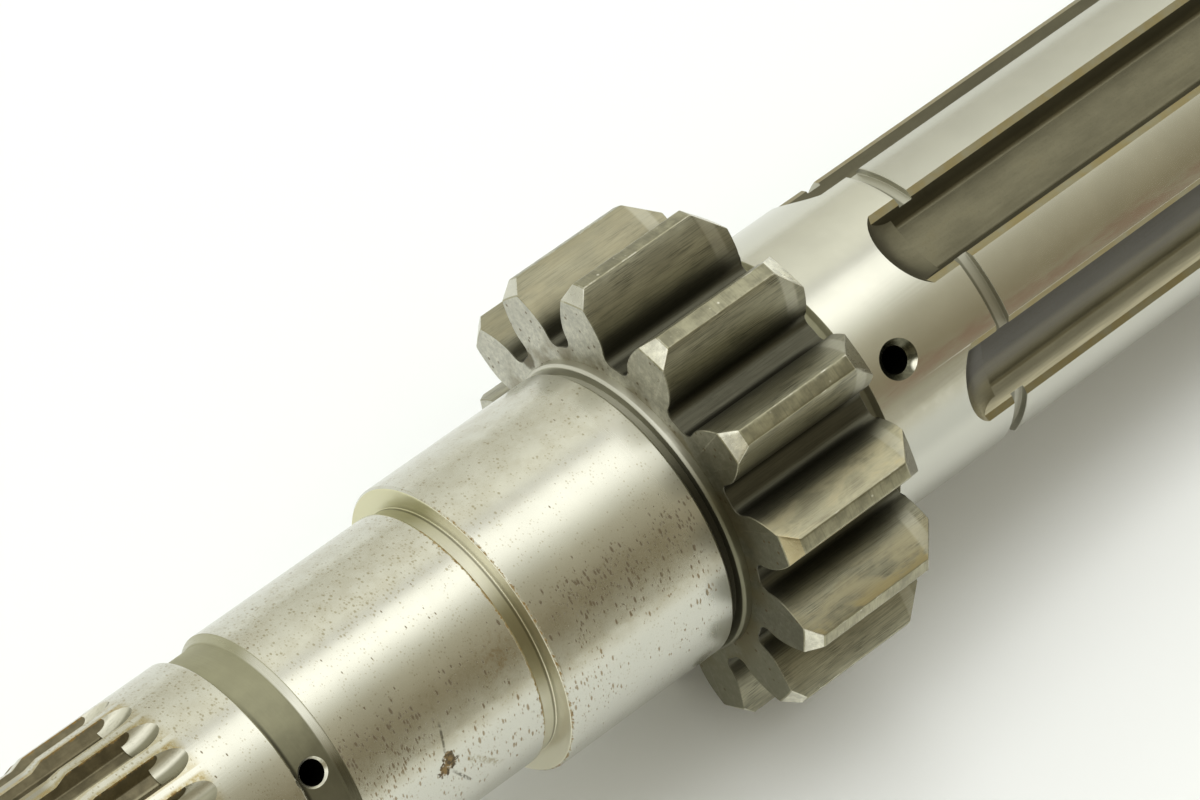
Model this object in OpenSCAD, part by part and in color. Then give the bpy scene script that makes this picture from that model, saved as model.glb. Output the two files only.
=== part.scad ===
// Transmission main shaft, turned, hobbed and ground from one forging.
// The shaft runs along +X from the clutch end and lies as it comes to rest: on two
// neighbouring pinion teeth and on the far end of the gear spline. Sizes in mm.

/* [Clutch end] */
// Major diameter of the clutch nut's thread
thread_d = 18; // [14:0.5:20]
// Length of the thread
thread_len = 14; // [10:0.5:20]
// Width of the relief behind the thread
thread_relief_w = 2; // [1:0.25:3]
// Depth of the relief behind the thread
thread_relief_h = 1.1; // [0.6:0.1:1.6]
// Chamfer on the first turn of the thread
thread_chamfer = 1; // [0.5:0.1:1.5]

/* [Clutch spline] */
// Number of teeth for the clutch hub
hub_teeth = 21; // [18:1:24]
// Diameter over the full lands and the plain band behind them
hub_d = 21.9; // [21:0.1:23]
// Diameter over the turned-down lands
hub_low_d = 21.2; // [20.6:0.1:21.4]
// Length of the turned-down lands
hub_low_len = 18.5; // [12:0.5:24]
// Length of the slope between the low and the full lands
hub_slope = 1.2; // [0.6:0.1:2]
// Length of the full lands and the plain band together
hub_len = 12.8; // [10:0.1:18]
// Length of the plain band left by the cutter
hub_plain = 5.4; // [3:0.1:7]
// Depth of the spaces
hub_depth = 0.95; // [0.7:0.05:1.2]
// Width of one full land
hub_land = 0.8; // [0.5:0.05:1.1]
// Slope of the flanks from the radius
hub_flank = 37; // [25:1:45]
// Radius the cutter leaves where a space runs out
hub_runout_r = 5; // [4:0.1:8]
// Crown of that cutter across a space
hub_crown = 1.35; // [1.2:0.05:2]
// Rounding at the bottom of a space
hub_fillet = 0.2; // [0.1:0.05:0.3]
// Turn of one land from straight up
hub_turn = 11.2; // [0:0.1:17]
// Chamfer at the open end of the spline
hub_chamfer = 0.8; // [0.4:0.1:1.2]

/* [Clutch journal] */
// Diameter of the ground clutch journal
journal_d = 22; // [21:0.1:24]
// Length of the ground clutch journal
journal_len = 16.6; // [12:0.2:20]
// Width of the oil groove before the journal
oil_groove_w = 3.05; // [2.4:0.05:4]
// Depth of the oil groove below the journal
oil_groove_h = 0.57; // [0.3:0.01:0.8]

/* [Bearing seat] */
// Diameter of the main bearing seat
seat_d = 25; // [24:0.1:28]
// Length of the main bearing seat
seat_len = 16.2; // [12:0.2:20]
// Width of the grinding relief at the seat's step
step_relief_w = 1.2; // [0.8:0.1:2]
// Depth of the grinding relief at the seat's step
step_relief_h = 0.3; // [0.2:0.05:0.6]
// Width of the undercut between the seat and the collar
undercut_w = 0.77; // [0.5:0.01:1.2]
// Depth of the undercut between the seat and the collar
undercut_h = 0.7; // [0.4:0.05:1]
// Diameter of the stop collar on the pinion's face
collar_d = 25.45; // [25.2:0.05:29]
// Width of the stop collar
collar_w = 0.8; // [0.6:0.05:1.5]
// Edge break on the ground steps
edge_break = 0.2; // [0.1:0.05:0.3]

/* [Pinion] */
// Number of teeth
pinion_teeth = 13; // [12:1:15]
// Module
pinion_module = 2.5; // [2.4:0.05:2.6]
// Pressure angle
pinion_pressure = 20; // [18:0.5:22]
// Profile shift in modules
pinion_shift = 0.32; // [0.2:0.01:0.4]
// Depth of the spaces below the pitch circle
pinion_dedendum = 2.35; // [2:0.05:2.6]
// Height of the teeth above the pitch circle
pinion_addendum = 3.2; // [2.8:0.05:3.3]
// Width over the two faces
pinion_w = 13.8; // [11:0.1:18]
// Turned tip chamfer on the face towards the clutch
pinion_front = 1.1; // [0.5:0.05:2]
// Turned tip chamfer on the face towards the gears
pinion_back = 2.05; // [0.5:0.05:2.5]
// Rounding at the tooth roots
pinion_fillet = 0.8; // [0.4:0.05:0.9]

/* [Gear spline] */
// Number of splines
spline_count = 6; // [4:1:8]
// Diameter over the lands and the plain stretch before them
spline_d = 24.85; // [24:0.05:26]
// Depth of the slots
spline_depth = 1.95; // [1.5:0.05:2.4]
// Width of one spline between its parallel sides
spline_w = 6.3; // [4.5:0.1:7]
// Chamfer on the edges of the lands
spline_chamfer = 0.45; // [0.2:0.05:0.6]
// Rounding at the bottom of the slots
spline_fillet = 0.35; // [0.1:0.05:0.5]
// Turn of one land from straight up
spline_turn = 36; // [0:0.5:60]
// Plain stretch from the pinion to the first slot
plain_len = 9.45; // [8:0.05:14]
// Length of the slotted stretch
spline_len = 75.2; // [50:0.1:95]
// Radius the cutter leaves where a slot runs out
spline_runout_r = 4; // [3.6:0.1:8]
// Crown of that cutter across a slot
spline_crown = 8.5; // [7:0.1:12]
// Step that a cutter leaves on the floor where it runs out
runout_step = 0.08; // [0.05:0.01:0.15]
// Distance from the first slot's tip to the ring groove
ring_gap = 4.45; // [3:0.05:8]
// Width of the retaining ring's groove
ring_w = 1.3; // [1.1:0.05:1.6]
// Depth of the retaining ring's groove
ring_h = 0.55; // [0.3:0.05:0.8]
// Width of the relief behind the pinion
back_relief_w = 1.4; // [0.8:0.1:2]
// Depth of the relief behind the pinion
back_relief_h = 0.35; // [0.2:0.05:0.5]
// Chamfer at the far end of the splines
spline_end = 1; // [0.5:0.1:1.5]

/* [End journal] */
// Diameter of the far bearing journal
end_d = 20; // [17:0.5:21]
// Length of the far bearing journal
end_len = 18; // [12:0.5:24]
// Chamfer on the far end
end_chamfer = 1; // [0.5:0.1:1.5]

/* [Oil ways] */
// Turn of the oil holes from straight up
oil_turn = 37.8; // [0:0.1:60]
// Diameter of the oil gallery along the axis
gallery_d = 6.5; // [4:0.5:8]
// Distance the gallery runs past the far oil hole
gallery_past = 4; // [2:0.5:8]
// Diameter of the oil hole in the groove
groove_hole_d = 2; // [1.5:0.1:2.4]
// Rim of the oil hole in the groove, each side
groove_hole_rim = 0.22; // [0.1:0.02:0.3]
// Distance from the groove's left step to its oil hole
groove_hole_x = 1.45; // [1.3:0.05:1.8]
// Diameter of the oil hole in the plain stretch
gear_hole_d = 2.2; // [1.8:0.1:3]
// Countersink of that oil hole, each side
gear_hole_sink = 0.6; // [0.2:0.02:0.8]
// Distance from the pinion to that oil hole
gear_hole_x = 5.1; // [4:0.1:6.5]
// Diameter of the centre hole at the clutch end
centre_d = 5; // [3:0.5:7]
// Diameter of the drilled tip below that centre hole
centre_pilot_d = 2; // [1:0.5:3]
// Length of that drilled tip
centre_pilot_len = 3; // [2:0.5:5]

/* [Hidden] */
$fn = 96;
// Clear run of a cutter past the metal it cuts
past = 1;
// Half angle of a lathe centre
centre_half = 30;
// Half angle of a drill's point
drill_half = 59;
// Points along one tooth flank, round one rounded corner and across half a cutter's nose
flank_points = 9;
corner_points = 4;
nose_points = 4;

// Stations along the axis, from the clutch end
x_thread = thread_len;
x_hub = x_thread + thread_relief_w;
x_low = x_hub + hub_low_len;
x_full = x_low + hub_slope;
x_band = x_full + hub_len;
x_groove = x_band + oil_groove_w;
x_journal = x_groove + oil_groove_h;
x_relief = x_journal + journal_len;
x_seat = x_relief + step_relief_w;
x_undercut = x_seat + seat_len;
x_collar = x_undercut + undercut_w;
x_face = x_collar + collar_w;
x_back = x_face + pinion_w;
x_plain = x_back + back_relief_w + back_relief_h;
x_slot = x_back + plain_len;
x_ring = x_slot + ring_gap;
x_spline_end = x_slot + spline_len;
x_end = x_spline_end + end_len;

// Radii
hub_r = hub_d / 2;
hub_low_r = hub_low_d / 2;
hub_floor_r = hub_r - hub_depth;
thread_r = thread_d / 2;
journal_r = journal_d / 2;
groove_r = journal_r - oil_groove_h;
seat_r = seat_d / 2;
collar_r = collar_d / 2;
spline_r = spline_d / 2;
floor_r = spline_r - spline_depth;
end_r = end_d / 2;
gallery_r = gallery_d / 2;

// Pinion
pitch_r = pinion_teeth * pinion_module / 2;
base_r = pitch_r * cos(pinion_pressure);
tip_r = pitch_r + pinion_addendum;
root_r = pitch_r - pinion_dedendum;
tooth_pitch = 360 / pinion_teeth;
pinion_turn = 180 + tooth_pitch / 2;

// Gear spline
spline_pitch = 360 / spline_count;
land_half = asin((spline_w / 2 - spline_chamfer) / spline_r);
slot_half = spline_pitch / 2 - asin(spline_w / 2 / floor_r);
// Share of a slot's floor that is drawn before its corners
floor_part = 0.8;

// Rest: two tooth tips at the pinion's back chamfer, one land edge at the spline's end
rest_tip_r = tip_r * cos(tooth_pitch / 2 - flank_half(tip_r));
rest_turn = abs(((180 - spline_turn + spline_pitch / 2) % spline_pitch) - spline_pitch / 2);
rest_land_r = spline_r * cos(max(0, rest_turn - land_half));
rest_x1 = x_back - pinion_back;
rest_x2 = x_spline_end - spline_end;
rest_tilt = atan((rest_tip_r - rest_land_r) / (rest_x2 - rest_x1));
rest_z = rest_tip_r * cos(rest_tilt) + rest_x1 * sin(rest_tilt);
rest_left = -(thread_r - thread_chamfer) * sin(rest_tilt);
rest_right = x_end * cos(rest_tilt) + (end_r - end_chamfer) * sin(rest_tilt);

// Point at radius r, turned t degrees from straight up
function at(r, t) = [-r * sin(t), r * cos(t)];

function unit(v) = v / norm(v);

// Arc of radius r that rounds the corner b between a and c
function rounded(a, b, c, r) =
    let (u = unit(a - b), v = unit(c - b), half = acos(u * v) / 2)
    let (o = b + unit(u + v) * r / sin(half))
    let (s = b + u * r / tan(half) - o, e = b + v * r / tan(half) - o)
    [for (i = [0 : corner_points])
        o + r * unit(s * (1 - i / corner_points) + e * i / corner_points)];

// Involute of an angle, in degrees
function involute(a) = tan(a) * 180 / PI - a;

// Half angle of a pinion tooth at radius r
function flank_half(r) =
    (90 + 2 * pinion_shift * tan(pinion_pressure) * 180 / PI) / pinion_teeth
    + involute(pinion_pressure) - involute(acos(min(1, base_r / r)));

// One side of a tooth from the root to past the tip, for a tooth that points up
function tooth_side() =
    let (foot = at(root_r, flank_half(base_r)), middle = at(root_r, tooth_pitch / 2))
    concat(
        rounded(middle, foot, at(base_r, flank_half(base_r)), pinion_fillet),
        [for (i = [0 : flank_points])
            let (r = base_r + (tip_r + edge_break - base_r) * i / flank_points)
            at(r, flank_half(r))]);

function mirrored(points) = [for (i = [len(points) - 1 : -1 : 0]) [-points[i][0], points[i][1]]];

// Section of one gear-spline slot that points up, between two lands
function slot_side() =
    let (h = spline_pitch / 2, w = spline_w / 2, c = spline_chamfer)
    let (top = sqrt(pow(spline_r, 2) - pow(w - c, 2)))
    let (foot = at(floor_r, slot_half), wall = beside(top - c, w, h), lip = beside(top, w - c, h))
    concat(
        [for (i = [0 : corner_points - 1]) at(floor_r, slot_half * floor_part * i / corner_points)],
        rounded(at(floor_r, slot_half * floor_part), foot, wall, spline_fillet),
        [wall, lip, [lip[0], spline_r + past]]);

// Point u out along a land turned h from up, and w to the slot's side of its middle
function beside(u, w, h) = [-u * sin(h) + w * cos(h), u * cos(h) + w * sin(h)];

// Section of one clutch-spline space that points up
function space_side() =
    let (half = (PI * hub_d / hub_teeth - hub_land) / 2, run = tan(hub_flank))
    let (foot = [-(half - hub_depth * run), hub_floor_r])
    concat(
        rounded([0, hub_floor_r], foot, [-half, hub_r], hub_fillet),
        [[-half - past * run, hub_r + past]]);

// Turned outline: radius and station, from the clutch end to the far end
function outline() = [
    [0, 0],
    [thread_r - thread_chamfer, 0],
    [thread_r, thread_chamfer],
    [thread_r, x_thread],
    [thread_r - thread_relief_h, x_thread + thread_relief_h],
    [thread_r - thread_relief_h, x_hub],
    [hub_low_r - hub_chamfer, x_hub],
    [hub_low_r, x_hub + hub_chamfer],
    [hub_low_r, x_low],
    [hub_r, x_full],
    [hub_r, x_band - edge_break],
    [hub_r - edge_break, x_band],
    [groove_r, x_band],
    [groove_r, x_groove],
    [journal_r, x_journal],
    [journal_r, x_relief - edge_break],
    [journal_r - edge_break, x_relief],
    [journal_r - step_relief_h, x_relief],
    [journal_r - step_relief_h, x_seat],
    [seat_r - edge_break, x_seat],
    [seat_r, x_seat + edge_break],
    [seat_r, x_undercut - edge_break],
    [seat_r - edge_break, x_undercut],
    [seat_r - undercut_h, x_undercut],
    [seat_r - undercut_h, x_collar],
    [collar_r - edge_break, x_collar],
    [collar_r, x_collar + edge_break],
    [collar_r, x_face],
    [root_r, x_face],
    [root_r, x_back],
    [spline_r - back_relief_h, x_back],
    [spline_r - back_relief_h, x_plain - back_relief_h],
    [spline_r, x_plain],
    [spline_r, x_ring],
    [spline_r - ring_h, x_ring],
    [spline_r - ring_h, x_ring + ring_w],
    [spline_r, x_ring + ring_w],
    [spline_r, x_spline_end - spline_end],
    [spline_r - spline_end, x_spline_end],
    [end_r, x_spline_end],
    [end_r, x_end - end_chamfer],
    [end_r - end_chamfer, x_end],
    [0, x_end]
];

// Swings a solid drawn along Z onto the shaft's axis, with its Y upwards
module along() {
    rotate([90, 0, 90]) children();
}

module blank() {
    along() rotate_extrude() polygon(outline());
}

module pinion() {
    along() translate([0, 0, x_face]) intersection() {
        linear_extrude(pinion_w) polygon([
            for (k = [0 : pinion_teeth - 1])
                for (p = concat(tooth_side(), mirrored(tooth_side())))
                    let (t = pinion_turn - k * tooth_pitch)
                    [p[0] * cos(t) - p[1] * sin(t), p[0] * sin(t) + p[1] * cos(t)]]);
        rotate_extrude() polygon([
            [0, 0],
            [tip_r - pinion_front, 0],
            [tip_r, pinion_front],
            [tip_r, pinion_w - pinion_back],
            [tip_r - pinion_back, pinion_w],
            [0, pinion_w]]);
    }
}

// Length a cutter of radius r takes to climb out of the depth h
function climb(r, h) = sqrt(2 * r * h - h * h);

// Nose of a cutter of radius r and crown c that works h deep, over its lowest point
module nose(r, c, h) {
    half = climb(c, h);
    across = [for (i = [-nose_points : nose_points]) half * i / nose_points];
    translate([0, 0, r]) rotate([90, 0, 0]) rotate_extrude()
        polygon(concat([[0, -half]], [for (y = across) [r - c + sqrt(c * c - y * y), y]], [[0, half]]));
}

// Ends a cut that comes from the side way, 1 or -1, in the nose of its cutter at the station x
module run_out(x, way, floor, r, c, h) {
    intersection() {
        children();
        translate([x, 0, 0]) union() {
            translate([way > 0 ? 0 : -x_end, -spline_r, 0])
                cube([x_end, 2 * spline_r, spline_r + 2 * past]);
            translate([0, 0, floor + runout_step]) nose(r, c, h);
        }
    }
}

module slots() {
    side = slot_side();
    stop = x_slot + climb(spline_runout_r, spline_depth - runout_step);
    for (k = [0 : spline_count - 1])
        rotate([spline_turn + (k + 0.5) * spline_pitch, 0, 0])
            run_out(stop, 1, floor_r, spline_runout_r, spline_crown, spline_depth)
                translate([x_slot - past, 0, 0]) along()
                    linear_extrude(spline_len + 2 * past) polygon(concat(mirrored(side), side));
}

module spaces() {
    side = space_side();
    tip = x_band - hub_plain;
    stop = tip - climb(hub_runout_r, hub_depth - runout_step);
    start = x_thread + thread_relief_w / 2;
    for (k = [0 : hub_teeth - 1])
        rotate([hub_turn + (k + 0.5) * 360 / hub_teeth, 0, 0])
            run_out(stop, -1, hub_floor_r, hub_runout_r, hub_crown, hub_depth)
                translate([start, 0, 0]) along()
                    linear_extrude(tip + past - start) polygon(concat(mirrored(side), side));
}

// Oil hole from the gallery out through the surface of radius r, with a sunk rim
module oil_hole(x, r, d, rim) {
    rotate([oil_turn, 0, 0]) translate([x, 0, 0]) {
        cylinder(h = r + past, d = d);
        translate([0, 0, r - rim]) cylinder(h = rim + past, d1 = d, d2 = d + 2 * (rim + past));
    }
}

module gallery() {
    tip = x_band + groove_hole_x - gallery_past;
    sink = gallery_r / 2;
    slope = tan(centre_half);
    translate([tip, 0, 0]) rotate([0, 90, 0]) cylinder(h = x_end - tip + past, r = gallery_r);
    translate([tip - gallery_r / tan(drill_half), 0, 0]) rotate([0, 90, 0])
        cylinder(h = gallery_r / tan(drill_half), r1 = 0, r2 = gallery_r);
    translate([x_end - sink / slope, 0, 0]) rotate([0, 90, 0])
        cylinder(h = sink / slope + past, r1 = gallery_r, r2 = gallery_r + sink + past * slope);
}

module centre_hole() {
    deep = (centre_d - centre_pilot_d) / 2 / tan(centre_half);
    rotate([0, 90, 0]) cylinder(h = deep, d1 = centre_d, d2 = centre_pilot_d);
    translate([deep, 0, 0]) rotate([0, 90, 0]) cylinder(h = centre_pilot_len, d = centre_pilot_d);
}

// Lays the shaft down with the middle of its outline over the origin
module at_rest() {
    translate([-(rest_left + rest_right) / 2, 0, rest_z]) rotate([0, rest_tilt, 0]) children();
}

module main_shaft() {
    color([0.66, 0.64, 0.58]) at_rest() difference() {
        union() {
            blank();
            pinion();
        }
        slots();
        spaces();
        oil_hole(x_band + groove_hole_x, groove_r, groove_hole_d, groove_hole_rim);
        oil_hole(x_back + gear_hole_x, spline_r, gear_hole_d, gear_hole_sink);
        gallery();
        centre_hole();
    }
}

// Sub-part to show

main_shaft();
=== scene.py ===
import math

import bpy
import bmesh
from bpy.props import FloatProperty, FloatVectorProperty, IntProperty, PointerProperty
from mathutils import Matrix, Vector


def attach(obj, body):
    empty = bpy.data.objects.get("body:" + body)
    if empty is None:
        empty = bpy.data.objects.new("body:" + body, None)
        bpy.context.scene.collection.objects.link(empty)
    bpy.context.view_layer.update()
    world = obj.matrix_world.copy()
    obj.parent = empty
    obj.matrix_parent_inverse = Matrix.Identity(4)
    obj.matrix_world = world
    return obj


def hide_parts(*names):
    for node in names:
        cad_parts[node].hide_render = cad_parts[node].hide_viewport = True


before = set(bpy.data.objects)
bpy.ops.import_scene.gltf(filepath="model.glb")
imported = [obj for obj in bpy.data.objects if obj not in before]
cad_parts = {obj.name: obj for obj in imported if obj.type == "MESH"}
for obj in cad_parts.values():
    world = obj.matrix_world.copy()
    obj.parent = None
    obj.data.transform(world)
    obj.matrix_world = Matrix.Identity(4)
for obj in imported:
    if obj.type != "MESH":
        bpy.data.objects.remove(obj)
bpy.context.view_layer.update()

bl_info = {
    "name": "Transmission main shaft",
    "version": (1, 0, 0),
    "blender": (4, 5, 0),
    "location": "3D View > Sidebar > Shaft",
    "description": "Builds a worn transmission main shaft with its pinion, splines and oil ways",
    "category": "Object",
}

MM = 0.001
PIECE = "main_shaft_steel"
# Clear run of a cutter past the metal it cuts
PAST = 1 * MM
# Doubles closer than this are one vertex, in a ring of sectors and in the finished shaft
RING_WELD, SHAFT_WELD, SHORTEST_EDGE = 0.002 * MM, 0.0005 * MM, 0.0002 * MM
# Steeper edges stay sharp when the shaft is shaded
SHARP = math.radians(32)
# Half angles of a centre drill and of a twist drill
CENTRE_HALF, DRILL_HALF = math.radians(30), math.radians(59)
# Bluish floor of the lower gear slot
SLOT_BLUE = (0.125, 0.122, 0.122)
# Thread groove in pitches: how far its middle lies below the crest, its reach, and its run past the end
THREAD_SINK, THREAD_REACH, THREAD_RUN = 0.06, 0.545, 1.2
FLOOR_HALF = 3.0


def length(name, description, mm):
    return FloatProperty(
        name=name, description=description, default=mm * MM, precision=5, unit="LENGTH"
    )


def turn(name, description, degrees):
    return FloatProperty(name=name, description=description, default=math.radians(degrees), subtype="ANGLE")


def count(name, description, number):
    return IntProperty(name=name, description=description, default=number, min=1)


def tint(name, description, colour):
    return FloatVectorProperty(
        name=name, description=description, default=colour, min=0, max=1, size=3, subtype="COLOR"
    )


class ShaftSizes(bpy.types.PropertyGroup):
    """Sizes of the shaft, station by station from the clutch end"""

    thread_d: length("Thread", "Major diameter of the clutch nut's thread", 18)
    thread_pitch: length("Thread pitch", "Pitch of the clutch nut's thread", 1.5)
    thread_len: length("Thread length", "Length of the thread", 14)
    thread_relief_w: length("Thread relief width", "Width of the relief behind the thread", 2)
    thread_relief_h: length("Thread relief depth", "Depth of the relief behind the thread", 1.1)
    thread_chamfer: length("Thread chamfer", "Chamfer on the first turn", 1)
    hub_teeth: count("Clutch teeth", "Number of teeth for the clutch hub", 21)
    hub_d: length("Clutch spline", "Diameter over the full lands", 21.9)
    hub_low_d: length("Low lands", "Diameter over the turned-down lands", 21.2)
    hub_low_len: length("Low lands' length", "Length of the turned-down lands", 18.5)
    hub_slope: length("Land slope", "Slope between the low and the full lands", 1.2)
    hub_len: length("Full lands' length", "Length of the full lands and the plain band", 12.8)
    hub_plain: length("Plain band", "Length of the plain band left by the cutter", 5.4)
    hub_depth: length("Space depth", "Depth of the spaces between the clutch teeth", 0.95)
    hub_land: length("Land width", "Width of one full land", 0.8)
    hub_flank: turn("Flank slope", "Slope of the clutch teeth's flanks from the radius", 37)
    hub_runout_r: length("Space run-out", "Radius the cutter leaves where a space runs out", 5)
    hub_crown: length("Space cutter's crown", "Crown of that cutter across a space", 1.35)
    hub_fillet: length("Space fillet", "Rounding at the bottom of a space", 0.2)
    hub_turn: turn("Clutch spline turn", "Turn of one land from straight up", 11.2)
    hub_chamfer: length("Clutch spline chamfer", "Chamfer at the open end", 0.8)
    journal_d: length("Clutch journal", "Diameter of the ground clutch journal", 22)
    journal_len: length("Clutch journal's length", "Length of the ground clutch journal", 16.6)
    oil_groove_w: length("Oil groove width", "Width of the oil groove before the journal", 3.05)
    oil_groove_h: length("Oil groove depth", "Depth of the oil groove", 0.57)
    seat_d: length("Bearing seat", "Diameter of the main bearing seat", 25)
    seat_len: length("Bearing seat's length", "Length of the main bearing seat", 16.2)
    step_relief_w: length("Step relief width", "Grinding relief at the seat's step", 1.2)
    step_relief_h: length("Step relief depth", "Grinding relief at the seat's step", 0.3)
    undercut_w: length("Undercut width", "Undercut between the seat and the collar", 0.77)
    undercut_h: length("Undercut depth", "Undercut between the seat and the collar", 0.7)
    collar_d: length("Collar", "Diameter of the stop collar on the pinion's face", 25.45)
    collar_w: length("Collar width", "Width of the stop collar", 0.8)
    edge_break: length("Edge break", "Edge break on the ground steps", 0.2)
    edge_soft: length("Soft edge", "Rounding that handling leaves on a sharp edge", 0.06)
    pinion_teeth: count("Pinion teeth", "Number of teeth of the pinion", 13)
    pinion_module: length("Module", "Pitch diameter of the pinion per tooth", 2.5)
    pinion_pressure: turn("Pressure angle", "Pressure angle of the teeth", 20)
    pinion_shift: FloatProperty(name="Profile shift", description="Profile shift in modules", default=0.32)
    pinion_dedendum: length("Dedendum", "Depth of the spaces below the pitch circle", 2.35)
    pinion_addendum: length("Addendum", "Height of the teeth above the pitch circle", 3.2)
    pinion_w: length("Pinion width", "Width over the two faces", 13.8)
    pinion_front: length("Front chamfer", "Turned tip chamfer towards the clutch", 1.1)
    pinion_back: length("Back chamfer", "Turned tip chamfer towards the gears", 2.05)
    pinion_fillet: length("Root fillet", "Rounding at the tooth roots", 0.8)
    nick: length("Nicks", "Depth of the nicks along the tooth edges", 0.04)
    spline_count: count("Splines", "Number of splines for the gears", 6)
    spline_d: length("Gear spline", "Diameter over the lands", 24.85)
    spline_depth: length("Slot depth", "Depth of the slots", 1.95)
    spline_w: length("Spline width", "Width of one spline", 6.3)
    spline_chamfer: length("Spline chamfer", "Chamfer on the edges of the lands", 0.45)
    spline_fillet: length("Slot fillet", "Rounding at the bottom of the slots", 0.35)
    spline_turn: turn("Gear spline turn", "Turn of one land from straight up", 36)
    plain_len: length("Plain stretch", "Plain stretch from the pinion to the first slot", 9.45)
    spline_len: length("Slotted stretch", "Length of the slotted stretch", 75.2)
    spline_runout_r: length("Slot run-out", "Radius the cutter leaves where a slot runs out", 4)
    spline_crown: length("Slot cutter's crown", "Crown of that cutter across a slot", 8.5)
    runout_step: length("Run-out step", "Step a cutter leaves on the floor where it runs out", 0.08)
    ring_gap: length("Ring distance", "From the first slot's tip to the ring groove", 4.45)
    ring_w: length("Ring groove width", "Width of the retaining ring's groove", 1.3)
    ring_h: length("Ring groove depth", "Depth of the retaining ring's groove", 0.55)
    back_relief_w: length("Back relief width", "Relief behind the pinion", 1.4)
    back_relief_h: length("Back relief depth", "Relief behind the pinion", 0.35)
    spline_end: length("Spline end chamfer", "Chamfer at the far end of the splines", 1)
    end_d: length("End journal", "Diameter of the far bearing journal", 20)
    end_len: length("End journal's length", "Length of the far bearing journal", 18)
    end_chamfer: length("End chamfer", "Chamfer on the far end", 1)
    oil_turn: turn("Oil holes' turn", "Turn of the oil holes from straight up", 37.8)
    gallery_d: length("Oil gallery", "Diameter of the oil gallery", 6.5)
    gallery_past: length("Gallery end", "Distance the gallery runs past the far oil hole", 4)
    groove_hole_d: length("Groove oil hole", "Diameter of the oil hole in the groove", 2)
    groove_hole_rim: length("Groove hole's rim", "Rim of that oil hole, each side", 0.22)
    groove_hole_x: length("Groove hole's place", "From the groove's left step to its oil hole", 1.45)
    gear_hole_d: length("Gear oil hole", "Diameter of the oil hole in the plain stretch", 2.2)
    gear_hole_sink: length("Gear hole's sink", "Countersink of that oil hole, each side", 0.6)
    gear_hole_x: length("Gear hole's place", "From the pinion to that oil hole", 5.1)
    centre_d: length("Centre hole", "Diameter of the centre hole at the clutch end", 5)
    centre_pilot_d: length("Centre pilot", "Diameter of the drilled tip below it", 2)
    centre_pilot_len: length("Centre pilot's length", "Length of that drilled tip", 3)
    columns: count("Columns", "Facets round a turned surface", 208)


class ShaftColours(bpy.types.PropertyGroup):
    """Colours of the steel, its stains, its painted shade and the stage"""

    ground: tint("Ground steel", "Ground journals, seat and lands", (0.65, 0.635, 0.54))
    turned: tint("Turned steel", "Grooves, reliefs and turned walls", (0.275, 0.265, 0.18))
    forged: tint("Forged face", "Side faces of the pinion", (0.52, 0.51, 0.435))
    flank: tint("Tooth flank", "Flanks and roots of the pinion", (0.33, 0.315, 0.225))
    tip: tint("Tooth tip", "Tip lands of the pinion", (0.31, 0.293, 0.20))
    bright: tint("Bright edge", "Worn edges and turned chamfers", (0.80, 0.775, 0.64))
    slot: tint("Slot", "Floors and walls of the gear slots", (0.165, 0.151, 0.098))
    space: tint("Clutch space", "Spaces between the clutch teeth", (0.18, 0.155, 0.095))
    # Painted shade: nearly black for the walls inside the bores
    hole: tint("Oil hole", "Walls of the oil ways", (0.05, 0.045, 0.035))
    pit: tint("Pit", "Dark corrosion pits", (0.105, 0.07, 0.03))
    # Painted shade, not an oil film: a darker, cooler ground tone for the lower and far upper sides, the
    # gear side and the upper lands
    film: tint("Painted side shade", "Darker, cooler ground tone painted as shade on the lower and far sides", (0.57, 0.567, 0.50))
    rust: tint("Rust", "Orange rust along the steps", (0.28, 0.165, 0.035))
    stain: tint("Oil stain", "Tan film of old oil", (0.50, 0.41, 0.20))
    varnish: tint("Varnish", "Old oil dried on the lower tooth flanks", (0.49, 0.445, 0.295))
    blush: tint("Red stain", "Faint reddish line along the gear side", (0.52, 0.30, 0.26))
    floor: tint("Floor", "Pale table top", (0.925, 0.938, 0.94))


class ShaftSettings(bpy.types.PropertyGroup):
    """All values of the main shaft"""

    sizes: PointerProperty(type=ShaftSizes, name="Sizes", description="Sizes of the shaft")
    colours: PointerProperty(
        type=ShaftColours, name="Colours", description="Colours of the shaft and the stage"
    )


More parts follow.
